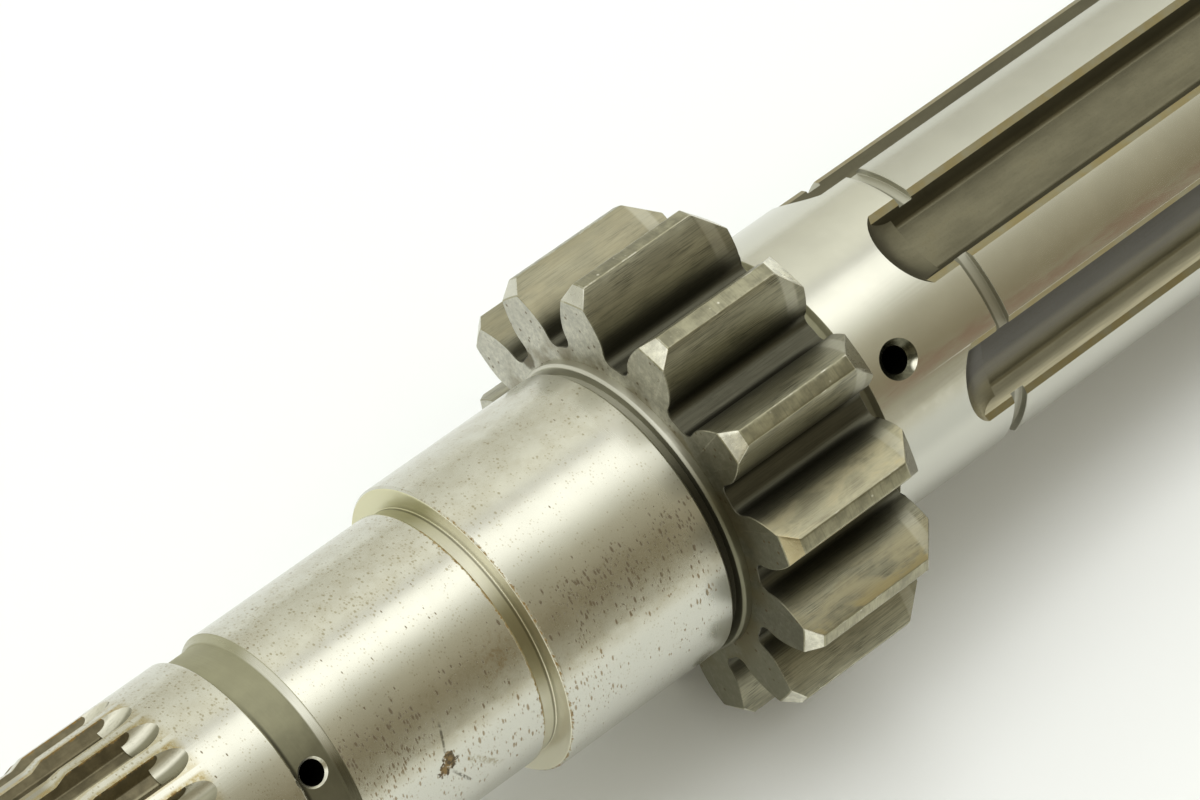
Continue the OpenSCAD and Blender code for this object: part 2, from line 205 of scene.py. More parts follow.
class Stations:
    """Stations along the axis, radii and the way the shaft lies, all from the sizes"""

    def __init__(self, s):
        self.s = s
        self.hub = s.thread_len + s.thread_relief_w
        self.low = self.hub + s.hub_low_len
        self.full = self.low + s.hub_slope
        self.band = self.full + s.hub_len
        self.groove = self.band + s.oil_groove_w
        self.journal = self.groove + s.oil_groove_h
        self.relief = self.journal + s.journal_len
        self.seat = self.relief + s.step_relief_w
        self.undercut = self.seat + s.seat_len
        self.collar = self.undercut + s.undercut_w
        self.face = self.collar + s.collar_w
        self.back = self.face + s.pinion_w
        self.plain = self.back + s.back_relief_w + s.back_relief_h
        self.slot = self.back + s.plain_len
        self.ring = self.slot + s.ring_gap
        self.spline_end = self.slot + s.spline_len
        self.end = self.spline_end + s.end_len
        self.hub_r = s.hub_d / 2
        self.hub_floor_r = self.hub_r - s.hub_depth
        self.journal_r = s.journal_d / 2
        self.groove_r = self.journal_r - s.oil_groove_h
        self.seat_r = s.seat_d / 2
        self.spline_r = s.spline_d / 2
        self.floor_r = self.spline_r - s.spline_depth
        self.gallery_r = s.gallery_d / 2
        self.gallery_tip = self.band + s.groove_hole_x - s.gallery_past
        self.pitch_r = s.pinion_teeth * s.pinion_module / 2
        self.base_r = self.pitch_r * math.cos(s.pinion_pressure)
        self.tip_r = self.pitch_r + s.pinion_addendum
        self.root_r = self.pitch_r - s.pinion_dedendum
        self.tooth_pitch = 2 * math.pi / s.pinion_teeth
        self.pinion_turn = math.pi + self.tooth_pitch / 2
        self.spline_pitch = 2 * math.pi / s.spline_count
        self.slot_half = self.spline_pitch / 2 - math.asin(s.spline_w / 2 / self.floor_r)

    def flank_half(self, r):
        """Half angle of a pinion tooth at radius r"""
        s = self.s
        involute = math.tan(s.pinion_pressure) - s.pinion_pressure
        here = math.acos(min(1, self.base_r / r))
        thick = (math.pi / 2 + 2 * s.pinion_shift * math.tan(s.pinion_pressure)) / s.pinion_teeth
        return thick + involute - (math.tan(here) - here)

    def at_rest(self):
        """Lays the shaft on two pinion teeth and the spline's far end, over the origin"""
        s = self.s
        tip = self.tip_r * math.cos(self.tooth_pitch / 2 - self.flank_half(self.tip_r))
        land_half = math.asin((s.spline_w / 2 - s.spline_chamfer) / self.spline_r)
        half = self.spline_pitch / 2
        off = abs((math.pi - s.spline_turn + half) % self.spline_pitch - half)
        land = self.spline_r * math.cos(max(0, off - land_half))
        x1 = self.back - s.pinion_back
        x2 = self.spline_end - s.spline_end
        tilt = math.atan((tip - land) / (x2 - x1))
        left = -(s.thread_d / 2 - s.thread_chamfer) * math.sin(tilt)
        right = self.end * math.cos(tilt) + (s.end_d / 2 - s.end_chamfer) * math.sin(tilt)
        height = tip * math.cos(tilt) + x1 * math.sin(tilt)
        return Vector((-(left + right) / 2, 0, height)), tilt


def stations():
    return Stations(bpy.context.scene.main_shaft.sizes)


def colours():
    return bpy.context.scene.main_shaft.colours


def around(r, t):
    """Point of a cross-section at radius r, turned t from straight up"""
    return Vector((-r * math.sin(t), r * math.cos(t)))


def rounded(a, b, c, r, steps):
    """Arc of radius r that rounds the corner b between a and c"""
    u, v = (a - b).normalized(), (c - b).normalized()
    half = u.angle(v) / 2
    o = b + (u + v).normalized() * (r / math.sin(half))
    start, end = b + u * (r / math.tan(half)) - o, b + v * (r / math.tan(half)) - o
    return [o + r * start.lerp(end, i / steps).normalized() for i in range(steps + 1)]


def mirrored(points):
    return [Vector((-p[0], p[1])) for p in reversed(points)]


def new_piece(name, verts, faces, zones=None, materials=()):
    """A closed mesh object with its faces outwards"""
    mesh = bpy.data.meshes.new(name)
    mesh.from_pydata([tuple(v) for v in verts], [], faces)
    for m in materials:
        mesh.materials.append(m)
    if zones:
        mesh.polygons.foreach_set("material_index", zones)
    bm = bmesh.new()
    bm.from_mesh(mesh)
    bmesh.ops.recalc_face_normals(bm, faces=bm.faces)
    bm.to_mesh(mesh)
    bm.free()
    obj = bpy.data.objects.new(name, mesh)
    bpy.context.collection.objects.link(obj)
    return obj


def loft(loops):
    """Vertices and faces of a skin over loops of equally many points, closed at both ends"""
    n = len(loops[0])
    verts = [p for loop in loops for p in loop]
    faces = []
    for k in range(len(loops) - 1):
        a, b = k * n, (k + 1) * n
        faces += [(a + j, a + (j + 1) % n, b + (j + 1) % n, b + j) for j in range(n)]
    return verts, faces + [tuple(range(n)), tuple(range(len(verts) - n, len(verts)))]


def finish_modifiers(obj):
    """Turns what the modifiers make into the object's plain mesh"""
    graph = bpy.context.evaluated_depsgraph_get()
    mesh = bpy.data.meshes.new_from_object(obj.evaluated_get(graph))
    obj.modifiers.clear()
    old, obj.data = obj.data, mesh
    bpy.data.meshes.remove(old)


def cut(obj, tool, operation):
    """Joins, cuts or keeps what the tool covers, then removes the tool"""
    step = obj.modifiers.new(operation, "BOOLEAN")
    step.operation = operation
    step.solver = "MANIFOLD"
    step.material_mode = "TRANSFER"
    step.object = tool
    finish_modifiers(obj)
    bpy.data.objects.remove(tool)


class Nodes:
    """Short ways to add nodes to a tree; an input is a value or a socket to link"""

    def __init__(self, tree):
        self.tree = tree

    def add(self, kind, inputs=None, **settings):
        node = self.tree.nodes.new(kind)
        for key, value in settings.items():
            setattr(node, key, value)
        for key, value in (inputs or {}).items():
            if isinstance(value, bpy.types.NodeSocket):
                self.tree.links.new(value, node.inputs[key])
            else:
                node.inputs[key].default_value = value
        return node

    def math(self, operation, a, b=0.0, c=0.0):
        return self.add("ShaderNodeMath", {0: a, 1: b, 2: c}, operation=operation).outputs[0]

    def mul(self, product, *factors):
        for factor in factors:
            product = self.math("MULTIPLY", product, factor)
        return product

    def mad(self, a, b, c):
        return self.math("MULTIPLY_ADD", a, b, c)

    def plus(self, a, b):
        return self.math("ADD", a, b)

    def sub(self, a, b):
        return self.math("SUBTRACT", a, b)

    def most(self, a, b):
        return self.math("MAXIMUM", a, b)

    def vector(self, operation, a, b=(0, 0, 0)):
        node = self.add("ShaderNodeVectorMath", {0: a, 1: b}, operation=operation)
        return node.outputs["Value" if operation in ("DISTANCE", "LENGTH", "DOT_PRODUCT") else "Vector"]

    def step(self, value, low, high, start=0.0, end=1.0, shape="SMOOTHSTEP"):
        """Step from start to end while the value goes from low to high"""
        node = self.add(
            "ShaderNodeMapRange",
            {"Value": value, "From Min": low, "From Max": high, "To Min": start, "To Max": end},
            interpolation_type=shape,
        )
        return node.outputs["Result"]

    def fall(self, value, low, high):
        return self.step(value, low, high, 1.0, 0.0)

    def mix(self, factor, a, b):
        node = self.add("ShaderNodeMix", {0: factor, 6: a, 7: b}, data_type="RGBA")
        return node.outputs[2]

    def scaled(self, vector, x, y, z):
        return self.vector("MULTIPLY", vector, (x, y, z))

    def noise(self, vector, scale=1.0, detail=2.0, rough=0.5, distortion=0.0):
        inputs = {"Vector": vector, "Scale": scale, "Detail": detail, "Roughness": rough}
        inputs["Distortion"] = distortion
        return self.add("ShaderNodeTexNoise", inputs).outputs["Fac"]


def ring_tree(zones, nicks):
    """Node tree that sets a sector out round the X axis, one material for each zone of its faces"""
    tree = bpy.data.node_groups.new("ring_of_sectors", "GeometryNodeTree")
    face, n = tree.interface, Nodes(tree)
    face.new_socket("Geometry", in_out="OUTPUT", socket_type="NodeSocketGeometry")
    wanted = {"Geometry": "Geometry", "Count": "Int"}
    wanted.update({name: "Float" for name in ("Turn", "Weld", "Nick depth")})
    wanted.update({"Material " + zone: "Material" for zone in zones})
    for name, kind in wanted.items():
        face.new_socket(name, in_out="INPUT", socket_type="NodeSocket" + kind)
    given = n.add("NodeGroupInput").outputs
    spots = n.add("GeometryNodeMeshLine", {"Count": given["Count"], "Offset": (0, 0, 0)})
    index = n.add("GeometryNodeInputIndex").outputs[0]
    pitch = n.math("DIVIDE", 2 * math.pi, given["Count"])
    angle = n.plus(n.mul(index, pitch), given["Turn"])
    axis = n.add("FunctionNodeAxisAngleToRotation", {"Axis": (1, 0, 0), "Angle": angle})
    placed = n.add(
        "GeometryNodeInstanceOnPoints",
        {"Points": spots.outputs[0], "Instance": given["Geometry"], "Rotation": axis.outputs[0]},
    )
    made = n.add("GeometryNodeRealizeInstances", {"Geometry": placed.outputs[0]}).outputs[0]
    made = n.add("GeometryNodeMergeByDistance", {"Geometry": made, "Distance": given["Weld"]}).outputs[0]
    if nicks:
        edge = n.add("GeometryNodeInputNamedAttribute", {"Name": "edge"}, data_type="FLOAT").outputs[0]
        place = n.add("GeometryNodeInputPosition").outputs[0]
        chance = n.noise(place, 1 / (0.55 * MM), 3.0, 0.6)
        hit = n.step(chance, 0.52, 0.74)
        depth = n.mul(hit, edge, given["Nick depth"])
        normal = n.add("GeometryNodeInputNormal").outputs[0]
        inward = n.add("ShaderNodeVectorMath", {0: normal}, operation="SCALE")
        tree.links.new(n.mul(depth, -1.0), inward.inputs["Scale"])
        made = n.add("GeometryNodeSetPosition", {"Geometry": made, "Offset": inward.outputs[0]}).outputs[0]
    mark = n.add("GeometryNodeInputNamedAttribute", {"Name": "zone"}, data_type="INT").outputs[0]
    for k, zone in enumerate(zones):
        pick = n.add("FunctionNodeCompare", data_type="INT", operation="EQUAL")
        tree.links.new(mark, pick.inputs[2])
        pick.inputs[3].default_value = k
        made = n.add(
            "GeometryNodeSetMaterial",
            {"Geometry": made, "Selection": pick.outputs[0], "Material": given["Material " + zone]},
        ).outputs[0]
    tree.links.new(made, n.add("NodeGroupOutput").inputs[0])
    return tree


def set_inputs(modifier, values):
    """Sets a node modifier's inputs by the identifiers of its sockets"""
    for item in modifier.node_group.interface.items_tree:
        if item.item_type == "SOCKET" and item.in_out == "INPUT" and item.name in values:
            modifier[item.identifier] = values[item.name]


def set_out(obj, number, first_turn, materials, face_zones, nick_depth=0.0):
    """Sets a sector out round the axis with the ring tree and leaves one plain mesh"""
    zones = list(materials)
    mark = obj.data.attributes.new("zone", "INT", "FACE")
    mark.data.foreach_set("value", face_zones)
    ring = obj.modifiers.new("ring", "NODES")
    ring.node_group = ring_tree(zones, nick_depth > 0)
    values = {"Count": number, "Turn": first_turn, "Weld": RING_WELD, "Nick depth": nick_depth}
    values.update({"Material " + z: m for z, m in materials.items()})
    set_inputs(ring, values)
    finish_modifiers(obj)


def thread_tree():
    """Node tree that sweeps a pointed groove along a helix round the X axis"""
    tree = bpy.data.node_groups.new("thread_groove", "GeometryNodeTree")
    face, n = tree.interface, Nodes(tree)
    face.new_socket("Geometry", in_out="OUTPUT", socket_type="NodeSocketGeometry")
    for name in ("Radius", "Pitch", "Length", "Groove"):
        face.new_socket(name, in_out="INPUT", socket_type="NodeSocketFloat")
    face.new_socket("Material", in_out="INPUT", socket_type="NodeSocketMaterial")
    given = n.add("NodeGroupInput").outputs
    turns = n.math("DIVIDE", given["Length"], given["Pitch"])
    helix = n.add(
        "GeometryNodeCurveSpiral",
        {
            "Resolution": 40,
            "Rotations": turns,
            "Start Radius": given["Radius"],
            "End Radius": given["Radius"],
            "Height": given["Length"],
        },
    ).outputs[0]
    helix = n.add("GeometryNodeSetCurveNormal", {"Curve": helix}, mode="Z_UP").outputs[0]
    pointed = {"Resolution": 3, "Radius": given["Groove"]}
    point = n.add("GeometryNodeCurvePrimitiveCircle", pointed).outputs[0]
    sweep = {"Curve": helix, "Profile Curve": point, "Fill Caps": True}
    swept = n.add("GeometryNodeCurveToMesh", sweep).outputs[0]
    laid = n.add("GeometryNodeTransform", {"Geometry": swept, "Rotation": (0, math.pi / 2, 0)}).outputs[0]
    made = n.add("GeometryNodeRealizeInstances", {"Geometry": laid}).outputs[0]
    made = n.add("GeometryNodeSetMaterial", {"Geometry": made, "Material": given["Material"]}).outputs[0]
    tree.links.new(made, n.add("NodeGroupOutput").inputs[0])
    return tree


class Steel:
    """Builds one finish of the shaft's steel, with the shaft's own coordinates in millimetres"""

    def __init__(self, name):
        self.material = bpy.data.materials.new(name)
        self.material.use_nodes = True
        tree = self.material.node_tree
        tree.nodes.clear()
        self.n = n = Nodes(tree)
        self.c, self.st = colours(), stations()
        where, tilt = self.st.at_rest()
        coords = n.add("ShaderNodeTexCoord").outputs["Object"]
        own = n.add(
            "ShaderNodeMapping",
            {"Vector": coords, "Location": where, "Rotation": (0, tilt, 0), "Scale": (MM, MM, MM)},
            vector_type="TEXTURE",
        )
        self.place = own.outputs[0]
        parts = n.add("ShaderNodeSeparateXYZ", {0: self.place}).outputs
        self.x = parts[0]
        self.turn = n.math("DEGREES", n.math("ARCTAN2", n.mul(parts[1], -1.0), parts[2]))
        self.radius = n.vector("LENGTH", n.scaled(self.place, 0, 1, 1))

    def noise(self, scale, detail, rough):
        return self.n.noise(self.place, scale, detail, rough)

    def drawn(self, along, across, detail, rough, distortion=0.0):
        """Noise drawn out along or round the shaft"""
        place = self.n.scaled(self.place, along, across, across)
        return self.n.noise(place, 1.0, detail, rough, distortion)

    def base(self, factor, tone, low, high):
        """Starts the colour, between two strengths of a tone"""
        self.colour = self.n.mix(factor, rgb(tone, low), rgb(tone, high))

    def lay(self, tone, *factors):
        """Lays a tone over the colour so far, as strongly as the product of the factors"""
        self.colour = self.n.mix(self.n.mul(*factors), self.colour, tone)

    def near_station(self, station, width):
        """1 on a station along the axis, 0 further than the width from it"""
        off = self.n.math("ABSOLUTE", self.n.sub(self.x, station / MM))
        return self.n.fall(off, 0.0, width)

    def between(self, low, high, soft):
        """1 between two stations, with soft ends"""
        n = self.n
        rise = n.step(self.x, low / MM - soft, low / MM + soft)
        fall = n.fall(self.x, high / MM - soft, high / MM + soft)
        return n.mul(rise, fall)

    def away(self, middle):
        """Degrees round the axis from a turn, 0 to 180"""
        off = self.n.sub(self.turn, middle)
        return self.n.math("ABSOLUTE", self.n.math("WRAP", off, 180.0, -180.0))

    def turned_to(self, middle, half, soft):
        """1 within half of a turn from straight up, in degrees, with soft ends"""
        return self.n.fall(self.away(middle), half - soft, half + soft)

    def across_space(self):
        """Degrees from the middle of the nearest clutch space"""
        s = self.st.s
        half = 180.0 / s.hub_teeth
        off = self.n.sub(self.turn, math.degrees(s.hub_turn) + half)
        return self.n.math("WRAP", off, half, -half)

    def near_point(self, station, r, degrees, reach):
        """1 at a point on the surface, 0 further than the reach from it"""
        side = around(r / MM, math.radians(degrees))
        off = self.n.vector("DISTANCE", self.place, (station / MM, side[0], side[1]))
        return self.n.fall(off, 0.0, reach)

    def streak(self, station, degrees, lean, half, width):
        """1 along a line through a point, leaning by millimetres a degree, half the reach to each side"""
        n = self.n
        middle = n.mad(self.turn, lean, station / MM - lean * degrees)
        off = n.math("ABSOLUTE", n.sub(self.x, middle))
        return n.mul(n.fall(off, width * 0.3, width), self.turned_to(degrees, half, 2))

    def specks(self, per_mm, size, density, stretch=(1.0, 1.0, 1.0), soft=0.14):
        """Scattered specks: as many of the cells as the density says, each of its own size"""
        n = self.n
        cells = n.add("ShaderNodeTexVoronoi", {"Vector": n.scaled(self.place, *stretch), "Scale": per_mm})
        chance = n.add("ShaderNodeSeparateColor", {0: cells.outputs["Color"]}).outputs
        reach = n.mad(chance[0], size * 0.75, size * 0.25)
        inside = n.fall(n.sub(cells.outputs["Distance"], reach), -soft, 0.04)
        return n.mul(inside, n.math("GREATER_THAN", density, chance[1]))

    def finish(self, rough, metal, height, depth):
        """Wires the colour, roughness, metal share and bump into the surface"""
        n = self.n
        inputs = {"Base Color": self.colour, "Roughness": rough, "Metallic": metal}
        surface = n.add("ShaderNodeBsdfPrincipled", inputs)
        surface.inputs["Specular IOR Level"].default_value = 0.2
        bump = n.add("ShaderNodeBump", {"Height": height, "Strength": 0.6, "Distance": depth * MM})
        n.tree.links.new(bump.outputs[0], surface.inputs["Normal"])
        out = n.add("ShaderNodeOutputMaterial")
        n.tree.links.new(surface.outputs[0], out.inputs[0])
        return self.material


def rgb(colour, strength=1.0):
    return (colour[0] * strength, colour[1] * strength, colour[2] * strength, 1.0)


def ground_steel(m):
    """Ground journals: fine rings; on the clutch side brown film, marks and rust on the steps; painted
    shade on the lower and far upper sides, on the gear end's lower side and over the upper lands, and a
    painted reflection band, partly a stain, along the lower side
    """
    n, c, st = m.n, m.c, m.st
    rings = m.drawn(9.0, 0.22, 3.0, 0.6)
    cloud = m.noise(0.16, 4.0, 0.6)
    film = m.noise(0.55, 5.0, 0.65)
    patch = m.drawn(0.24, 0.30, 3.0, 0.6)
    grain = m.noise(2.6, 4.0, 0.7)
    grit = n.mul(n.sub(grain, 0.5), 1.3)
    worn = m.between(st.low, st.undercut, 1.0)
    front, upper, brown_side = m.turned_to(62, 29, 8), m.turned_to(-27, 28, 8), m.turned_to(47, 10, 7)
    seat_patch = n.mul(m.between(st.seat + 2 * MM, st.undercut - 1 * MM, 1.5), m.turned_to(43, 9, 5))
    left_patch = n.mul(m.between(st.journal, st.journal + 7 * MM, 1.5), m.turned_to(52, 11, 6))

    m.base(n.step(cloud, 0.35, 0.7), c.ground, 0.96, 1.04)
    # Painted shade: outside a band round the light, the lower and far upper sides take the darker film
    # colour
    painted_side_shade = n.step(n.math("ABSOLUTE", n.sub(m.turn, 15.0)), 40.0, 56.0)
    m.lay(rgb(c.film), painted_side_shade, n.step(cloud, 0.2, 0.6, 0.8, 1.0))
    # A brown band along the lower side where the floor's horizon is reflected: painted reflection, partly a
    # stain
    line = n.mul(m.turned_to(58.5, 4, 3), n.step(film, 0.3, 0.6, 0.55, 1.0))
    m.lay(rgb(c.stain, 0.5), line, 0.3)
    tan = n.mad(brown_side, 0.9, n.mul(upper, 0.55))
    tan = n.mul(tan, n.step(film, 0.36, 0.66), worn)
    m.lay(rgb(c.stain, 0.62), tan, 0.34)
    red = n.mul(m.turned_to(45, 3, 2.5), m.between(st.back, st.end, 2.0))
    red = n.mul(red, n.step(m.drawn(0.18, 0.8, 4.0, 0.6), 0.32, 0.62))
    m.lay(rgb(c.blush), red, 0.5)
    # Painted shade on the lower side of the gear end
    gear_side_shade = n.mul(m.between(st.back, st.end, 1.0), m.turned_to(68, 7, 4))
    m.lay(rgb(c.film, 0.6), gear_side_shade, 0.4)
    # Painted shade that dims the highlight on the upper lands
    upper_land_shade = n.mul(m.between(st.ring, st.end, 0.5), m.turned_to(-22, 22, 8))
    m.lay(rgb(c.film, 0.72), upper_land_shade, 0.4)
    low_lands = n.fall(m.x, st.low / MM - 1.0, st.low / MM + 0.4)
    m.lay(rgb(c.space, 0.9), low_lands, 0.55)
    glow = m.near_point(st.undercut - 19.4 * MM, st.journal_r, 42.5, 2.6)
    glow = n.mul(glow, n.step(grain, 0.48, 0.62))
    m.lay(rgb(c.rust, 1.2), glow, 0.45)

    clump = n.step(patch, 0.42, 0.62)
    thick = n.plus(n.mul(seat_patch, 1.6), n.mul(left_patch, 1.2))
    thick = n.mad(front, 0.42, thick)
    thick = n.mul(n.mad(clump, 0.75, 0.25), n.mul(thick, worn))
    marks = m.specks(3.1, 0.54, thick, (1.25, 0.5, 0.5), 0.2)
    pits = m.specks(4.4, 0.44, n.mad(thick, 0.8, 0.02), (1.2, 0.55, 0.55), 0.2)
    marks = n.most(marks, n.mul(pits, worn))
    spread = n.mul(upper, n.step(film, 0.30, 0.58, 0.7, 1.5), worn)
    left = n.step(m.x, st.relief / MM - 6.0, st.relief / MM + 8.0, 1.0, 0.2)
    freckles = m.specks(3.8, 0.5, n.mul(spread, left), (0.95, 0.7, 0.7), 0.3)
    dust = m.specks(6.0, 0.5, n.mul(n.step(film, 0.38, 0.62, 0.1, 0.8), worn), (0.9, 0.7, 0.7), 0.3)
    mark_tone = n.mix(n.step(m.turn, 52.0, 64.0), rgb(c.pit, 1.25), rgb(c.rust, 0.75))
    depth = n.step(m.turn, 52.0, 66.0, 0.8, 0.62)
    m.lay(rgb(c.stain, 0.55), freckles, 0.62)
    m.lay(rgb(c.stain, 0.6), dust, 0.42)
    m.lay(mark_tone, marks, depth)

    splined = m.between(st.hub, st.band - st.s.hub_plain, 0.5)
    across = m.across_space()
    lower_edge, upper_edge = n.step(across, -8.4, -6.7), n.fall(across, 6.7, 7.4)
    lower_edge = n.mul(lower_edge, n.fall(across, -2.0, 0.0))
    upper_edge = n.mul(upper_edge, n.step(across, 0.0, 2.0))
    land_edge = n.mul(n.most(lower_edge, n.mul(upper_edge, 0.6)), splined)
    ochre = n.mul(land_edge, n.step(grain, 0.3, 0.55, 0.35, 0.9))
    m.lay(rgb(c.stain, 0.8), ochre)
    blob = m.near_point(st.undercut - 26.35 * MM, st.journal_r, 67.6, 1.15)
    for x, degrees, reach in ((-26.9, 69.6, 0.95), (-26.3, 64.6, 0.8)):
        blob = n.most(blob, m.near_point(st.undercut + x * MM, st.journal_r, degrees, reach))
    ragged = n.step(n.mad(grit, 2.2, blob), 0.36, 0.6)
    blob = n.mul(ragged, n.step(blob, 0.0, 0.3))
    below = m.turned_to(60, 85, 20)
    rust = n.mul(land_edge, 0.5)
    for station, width, amount in ((st.relief, 0.62, 0.95), (st.seat, 0.5, 0.7), (st.low, 1.6, 0.6)):
        line = n.mul(m.near_station(station, width), below, amount)
        rust = n.most(rust, line)
    rust = n.step(n.plus(rust, grit), 0.50, 0.76)
    rust = n.mul(rust, m.between(st.hub, st.undercut - 1 * MM, 0.5))
    smear = n.mul(m.streak(st.undercut - 23.3 * MM, 78.5, 0.19, 7, 0.5), n.step(grain, 0.38, 0.55))
    m.lay(rgb(c.stain, 0.5), smear, 0.6)
    upper_line = m.streak(st.undercut - 26.25 * MM, 57, -0.036, 6, 0.16)
    lower_line = m.streak(st.undercut - 25.5 * MM, 78, 0.125, 5, 0.22)
    streak = n.mul(n.most(upper_line, lower_line), n.step(grain, 0.36, 0.50))
    m.lay(rgb(c.space, 0.4), streak, 0.75)
    rust_tone = n.mix(n.step(grain, 0.48, 0.60), rgb(c.stain, 0.75), rgb(c.rust))
    rust_tone = n.mix(n.step(grain, 0.60, 0.72), rust_tone, rgb(c.pit))
    m.lay(rust_tone, rust, 0.92)
    blob_tone = n.mix(n.step(grain, 0.44, 0.58), rgb(c.rust, 0.8), rgb(c.rust, 0.2))
    m.lay(blob_tone, blob, 0.92)

    dull = n.most(n.mul(n.most(rust, blob), 0.8), n.mul(marks, 0.35))
    rough = n.mad(rings, 0.08, 0.16)
    rough = n.mad(n.most(freckles, tan), 0.08, rough)
    rough = n.mad(m.near_station(st.undercut, 3.5), 0.16, rough)
    rough = n.mad(dull, 0.35, rough)
    metal = n.sub(1.0, n.mul(dull, 0.95))
    height = n.sub(n.mul(rings, 0.18), marks)
    return m.finish(rough, metal, height, 0.010)


def turned_steel(m):
    """Grooves, reliefs and turned walls: tool rings under an olive film, with rust at the step; painted
    light above and painted shade below, painted shade in the relief's corner, under the band's wall and in
    the ring groove, and painted highlights on the groove's chamfer and the seat's step wall
    """
    n, c, st = m.n, m.c, m.st
    rings = m.drawn(14.0, 0.3, 2.0, 0.5)
    cloud = m.noise(0.6, 4.0, 0.6)
    m.base(n.step(cloud, 0.3, 0.75), c.turned, 0.9, 1.14)
    low = m.away(95)
    # Painted light on the upper side and painted shade on the lower side
    m.lay(rgb(c.turned, 1.8), n.step(low, 50.0, 115.0, 0.0, 0.5))
    m.lay(rgb(c.slot, 0.8), n.step(low, 50.0, 80.0, 0.7, 0.0))
    rubbed = m.between(st.groove + 0.1 * MM, st.journal, 0.06)
    collar = m.between(st.collar, st.face, 0.04)
    step = m.between(st.relief - 0.1 * MM, st.seat + 0.3 * MM, 0.1)
    shade = n.mul(m.between(st.band, st.band + 0.35 * MM, 0.12), n.step(low, 70.0, 105.0, 0.85, 0.0))
    m.lay(rgb(c.slot, 0.3), shade)
    # The groove's chamfer: painted shade on its lower side and a painted highlight in ground colour round
    # the light
    m.lay(rgb(c.slot, 0.6), rubbed, n.step(low, 45.0, 60.0, 0.8, 0.0))
    m.lay(rgb(c.ground, 0.95), rubbed, m.turned_to(8, 26, 8))
    # The step relief, by turn: a painted highlight in ground colour at the top, painted shade on the lower
    # side, lighter again at the very bottom
    relief = n.mix(n.step(low, 22.0, 38.0), rgb(c.ground, 0.9), rgb(c.slot, 2.1))
    relief = n.mix(n.step(low, 60.0, 90.0), relief, rgb(c.turned, 1.5))
    relief = n.mix(m.turned_to(0, 24, 9), relief, rgb(c.ground, 1.08))
    m.lay(relief, step, 0.9)
    # Painted highlight: the seat's step wall in bright colour, less bright on its upper side
    wall = m.between(st.seat - 0.04 * MM, st.seat + 0.3 * MM, 0.02)
    m.lay(n.mix(n.step(low, 100.0, 122.0), rgb(c.bright, 1.1), rgb(c.turned, 2.4)), wall)
    # Painted shade: a dark line in the corner of the relief at the seat's wall
    corner = m.between(st.seat - 0.26 * MM, st.seat - 0.09 * MM, 0.06)
    m.lay(rgb(c.slot, 0.8), corner, 0.75)
    # The collar: ground colour above, painted shade below
    m.lay(n.mix(n.step(low, 52.0, 82.0), rgb(c.turned, 0.7), rgb(c.ground, 0.85)), collar)
    ring = m.between(st.ring - 0.05 * MM, st.ring + st.s.ring_w + 0.05 * MM, 0.03)
    m.lay(rgb(c.ground, 0.8), ring, 0.75)
    shaded = m.between(st.ring - 0.05 * MM, st.ring + 0.5 * MM, 0.08)
    m.lay(rgb(c.turned, 0.5), shaded, 0.75)
    # The undercut: painted shade on its lower side, painted light on its upper side
    lit_and_shaded_undercut = m.between(st.undercut + 0.1 * MM, st.collar, 0.05)
    m.lay(rgb(c.slot, 0.25), lit_and_shaded_undercut, n.step(low, 55.0, 105.0, 0.85, 0.0))
    m.lay(rgb(c.ground, 0.8), lit_and_shaded_undercut, n.step(low, 65.0, 105.0, 0.0, 0.8))
    grain = m.noise(2.4, 4.0, 0.7)
    grit = n.mul(n.sub(grain, 0.5), 1.3)
    rust = n.mul(m.near_station(st.relief, 0.3), m.turned_to(85, 62, 20), 0.5)
    rust = n.step(n.plus(rust, grit), 0.50, 0.76)
    rust = n.mul(rust, m.between(st.relief - 1 * MM, st.seat + 1 * MM, 0.2))
    m.lay(rgb(c.rust), rust, 0.9)
    rough = n.mad(rings, 0.12, 0.58)
    smooth = n.most(n.mul(n.most(collar, ring), 0.7), rubbed)
    smooth = n.most(smooth, n.mul(step, 0.8))
    rough = n.mad(smooth, -0.36, rough)
    rough = n.mad(rust, 0.3, rough)
    metal = n.sub(1.0, n.mul(rust, 0.8))
    return m.finish(rough, metal, rings, 0.012)


def forged_face(m):
    """Side faces of the pinion: mottled grey skin, darker below as painted shade, with pits and dirt"""
    n, c, st = m.n, m.c, m.st
    mottle = m.noise(2.4, 5.0, 0.7)
    patches = m.noise(0.35, 3.0, 0.5)
    m.base(n.step(mottle, 0.33, 0.68), c.forged, 0.78, 1.18)
    m.lay(rgb(c.forged, 0.7), n.step(patches, 0.40, 0.64, 0.0, 0.35))
    low = m.away(95)
    # Painted shade: the lower part of the face turns darker olive, a little lighter round the bottom
    below = n.mul(n.fall(low, 60.0, 98.0), n.step(mottle, 0.25, 0.75, 1.0, 0.82))
    lower_face_shade = n.mix(n.step(m.away(124), 14.0, 34.0), rgb(c.turned, 0.75), rgb(c.turned, 0.55))
    m.lay(lower_face_shade, below)
    dirt = n.mul(n.fall(m.radius, 13.0, 15.6), n.step(patches, 0.36, 0.56))
    m.lay(rgb(c.stain, 0.35), dirt, 0.6)
    grime = n.mad(mottle, 0.8, m.near_point(st.face, st.root_r, -68, 1.7))
    m.lay(rgb(c.stain, 0.2), n.step(grime, 0.62, 0.95, 0.0, 0.85))
    pits = m.specks(1.9, 0.42, 0.16)
    m.lay(rgb(c.pit, 1.1), pits, 0.7)
    rough = n.mad(mottle, 0.26, 0.34)
    height = n.sub(mottle, n.mul(pits, 0.6))
    return m.finish(rough, 1.0, height, 0.03)


